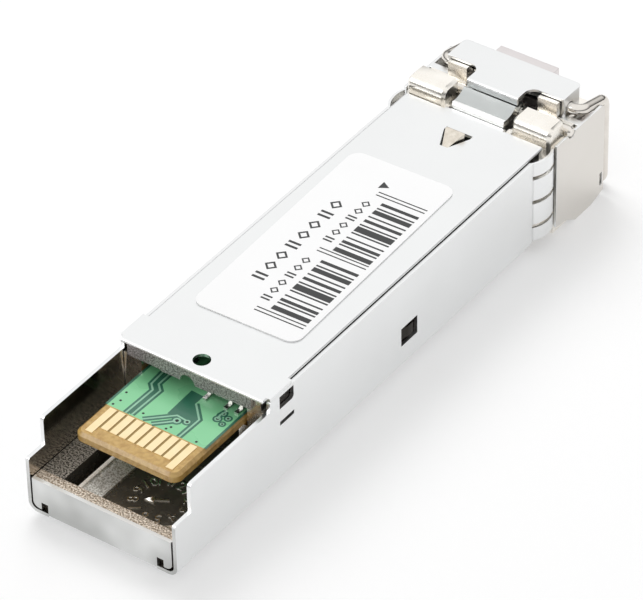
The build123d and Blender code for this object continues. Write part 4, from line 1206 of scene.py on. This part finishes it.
@dataclass
class Lamp:
    """Soft square lamp aimed at the module.

    Attributes:
        name: the lamp's name.
        power: in watts.
        spot: its place over the module, in millimetres.
        size: its side, in millimetres.
        mirrored: whether metal shows it.
        lights: whether it lights what isn't metal.
        aim: point of the module that it is turned to, in millimetres.
    """

    name: str
    power: float
    spot: Point
    size: float
    mirrored: bool = True
    lights: bool = True
    aim: Point = (0.0, 28.0, 4.0)

    def build(self) -> bpy.types.Object:
        """Adds the lamp.

        Returns:
            The lamp.
        """
        data = bpy.data.lights.new(self.name, "AREA")
        data.size = self.size * MM
        data.energy = self.power
        lamp = bpy.data.objects.new(self.name, data)
        lamp.location = place(*self.spot)
        towards = place(*self.aim) - lamp.location
        lamp.rotation_euler = towards.to_track_quat("-Z", "Y").to_euler()
        lamp.visible_glossy = self.mirrored
        lamp.visible_diffuse = self.lights
        bpy.context.scene.collection.objects.link(lamp)
        return lamp


@dataclass
class Studio:
    """Plain pale floor, soft lamps and a white room.

    Attributes:
        floor_size: side of the floor, in millimetres.
        floor_colour: sRGB hex colour of the floor.
        lift: how much of white the camera sees in the floor besides its own light.
        mirror_lift: how much of white metal mirrors in the floor besides its own light.
        room_colour: sRGB hex colour of the room's light.
        room: strength of the room's light.
        tent: strength of the white tent that metal mirrors.
        skirt: strength of the tent's dark skirt at the level of the floor.
        skirt_rise: sines of the elevations between which the skirt fades into the tent.
        lamps: the soft lamps.
    """

    floor_size: float = 4000.0
    floor_colour: str = "#D6D6D6"
    lift: float = 0.33
    mirror_lift: float = 0.4
    room_colour: str = "#FFFFFF"
    room: float = 0.68
    tent: float = 1.15
    skirt: float = 0.04
    skirt_rise: tuple[float, float] = (0.1, 0.46)
    lamps: tuple[Lamp, ...] = (
        Lamp("key", 1.4, (-260.0, 240.0, 420.0), 320.0, mirrored=False),
        Lamp("front_fill", 0.35, (-210.0, -265.0, 290.0), 200.0, lights=False))

    @staticmethod
    def rays_in(tree: bpy.types.NodeTree) -> tuple[bpy.types.NodeSocket, bpy.types.NodeSocket]:
        """Tells the rays that show the background from those that carry light.

        Args:
            tree: node tree of the floor or of the room.

        Returns:
            A socket that is 1 for the camera's rays, and one for rays off metal or through glass.
        """
        rays = add_node(tree, "ShaderNodeLightPath")
        onward = add_node(tree, "ShaderNodeMath", {"operation": "MAXIMUM"},
                          {0: rays.outputs["Is Glossy Ray"], 1: rays.outputs["Is Transmission Ray"]})
        return rays.outputs["Is Camera Ray"], onward.outputs[0]

    def floor(self) -> bpy.types.Object:
        """Builds the floor at the module's lowest level: white to the camera, with the shadow.

        Returns:
            The floor.
        """
        build = bmesh.new()
        half = self.floor_size * MM / 2
        low = CAD_BOX[0][2]
        build.faces.new([build.verts.new((half * x, half * y, low))
                         for x, y in ((-1, -1), (1, -1), (1, 1), (-1, 1))])
        mesh = bpy.data.meshes.new("floor")
        build.to_mesh(mesh)
        build.free()
        material = bpy.data.materials.new("floor_white_board")
        material.use_nodes = True
        tree = material.node_tree
        tree.nodes.clear()
        board = add_node(tree, "ShaderNodeBsdfDiffuse", {"Color": linear(self.floor_colour)})
        direct, onward = self.rays_in(tree)
        seen = add_node(tree, "ShaderNodeMath", {"operation": "MAXIMUM"}, {0: direct, 1: onward})
        share = add_node(tree, "ShaderNodeMapRange",
                         {"To Min": self.mirror_lift, "To Max": self.lift}, {"Value": direct})
        strength = add_node(tree, "ShaderNodeMath", {"operation": "MULTIPLY"},
                            {0: seen.outputs[0], 1: share.outputs[0]})
        glow = add_node(tree, "ShaderNodeEmission", links={"Strength": strength.outputs[0]})
        both = add_node(tree, "ShaderNodeAddShader",
                        links={0: board.outputs[0], 1: glow.outputs[0]})
        add_node(tree, "ShaderNodeOutputMaterial", links={"Surface": both.outputs[0]})
        mesh.materials.append(material)
        floor = bpy.data.objects.new("floor", mesh)
        bpy.context.scene.collection.objects.link(floor)
        return floor

    def room_light(self) -> None:
        """Builds the even white room.

        The camera sees it as a white tent, and metal as a tent with a dark skirt.
        """
        world = bpy.data.worlds.new("room")
        bpy.context.scene.world = world
        world.use_nodes = True
        tree = world.node_tree
        tree.nodes.clear()
        direct, onward = self.rays_in(tree)
        facing = add_node(tree, "ShaderNodeSeparateXYZ",
                          links={0: add_node(tree, "ShaderNodeTexCoord").outputs["Generated"]})
        wall = add_node(tree, "ShaderNodeMapRange",
                        {"From Min": self.skirt_rise[0], "From Max": self.skirt_rise[1],
                         "To Min": self.skirt, "To Max": self.tent}, {"Value": facing.outputs["Z"]})
        mirrored = add_node(tree, "ShaderNodeMapRange", {"To Min": self.room},
                            {"Value": onward, "To Max": wall.outputs[0]})
        strength = add_node(tree, "ShaderNodeMapRange", {"To Max": self.tent},
                            {"Value": direct, "To Min": mirrored.outputs[0]})
        light = add_node(tree, "ShaderNodeBackground", {"Color": linear(self.room_colour)},
                         {"Strength": strength.outputs[0]})
        add_node(tree, "ShaderNodeOutputWorld", links={"Surface": light.outputs[0]})

    def build(self) -> None:
        """Builds floor, lamps and room."""
        self.floor()
        for lamp in self.lamps:
            lamp.build()
        self.room_light()
        bpy.context.scene.view_settings.view_transform = "Standard"


class SubAssembly(Protocol):
    """Whatever builds and dresses a part of the module."""

    def build(self) -> Iterable[bpy.types.Object]:
        """Builds the pieces and returns them."""


@dataclass
class Transceiver:
    """The whole module.

    Attributes:
        parts: its sub-assemblies in the order in which they are built.
    """

    parts: Sequence[SubAssembly] = field(
        default_factory=lambda: (Housing(), Casting(), Latch(), Label(), Board(), Optics()))

    def build(self) -> None:
        """Builds each sub-assembly and reports its pieces."""
        for part in self.parts:
            for piece in part.build():
                LOG.info("%s: %s", type(part).__name__, piece.name)


def main() -> None:
    """Builds the camera, the studio and the module."""
    logging.basicConfig(level=logging.INFO, format="%(name)s %(message)s")
    Camera().build()
    Studio().build()
    Transceiver().build()


if __name__ == "__main__":
    main()
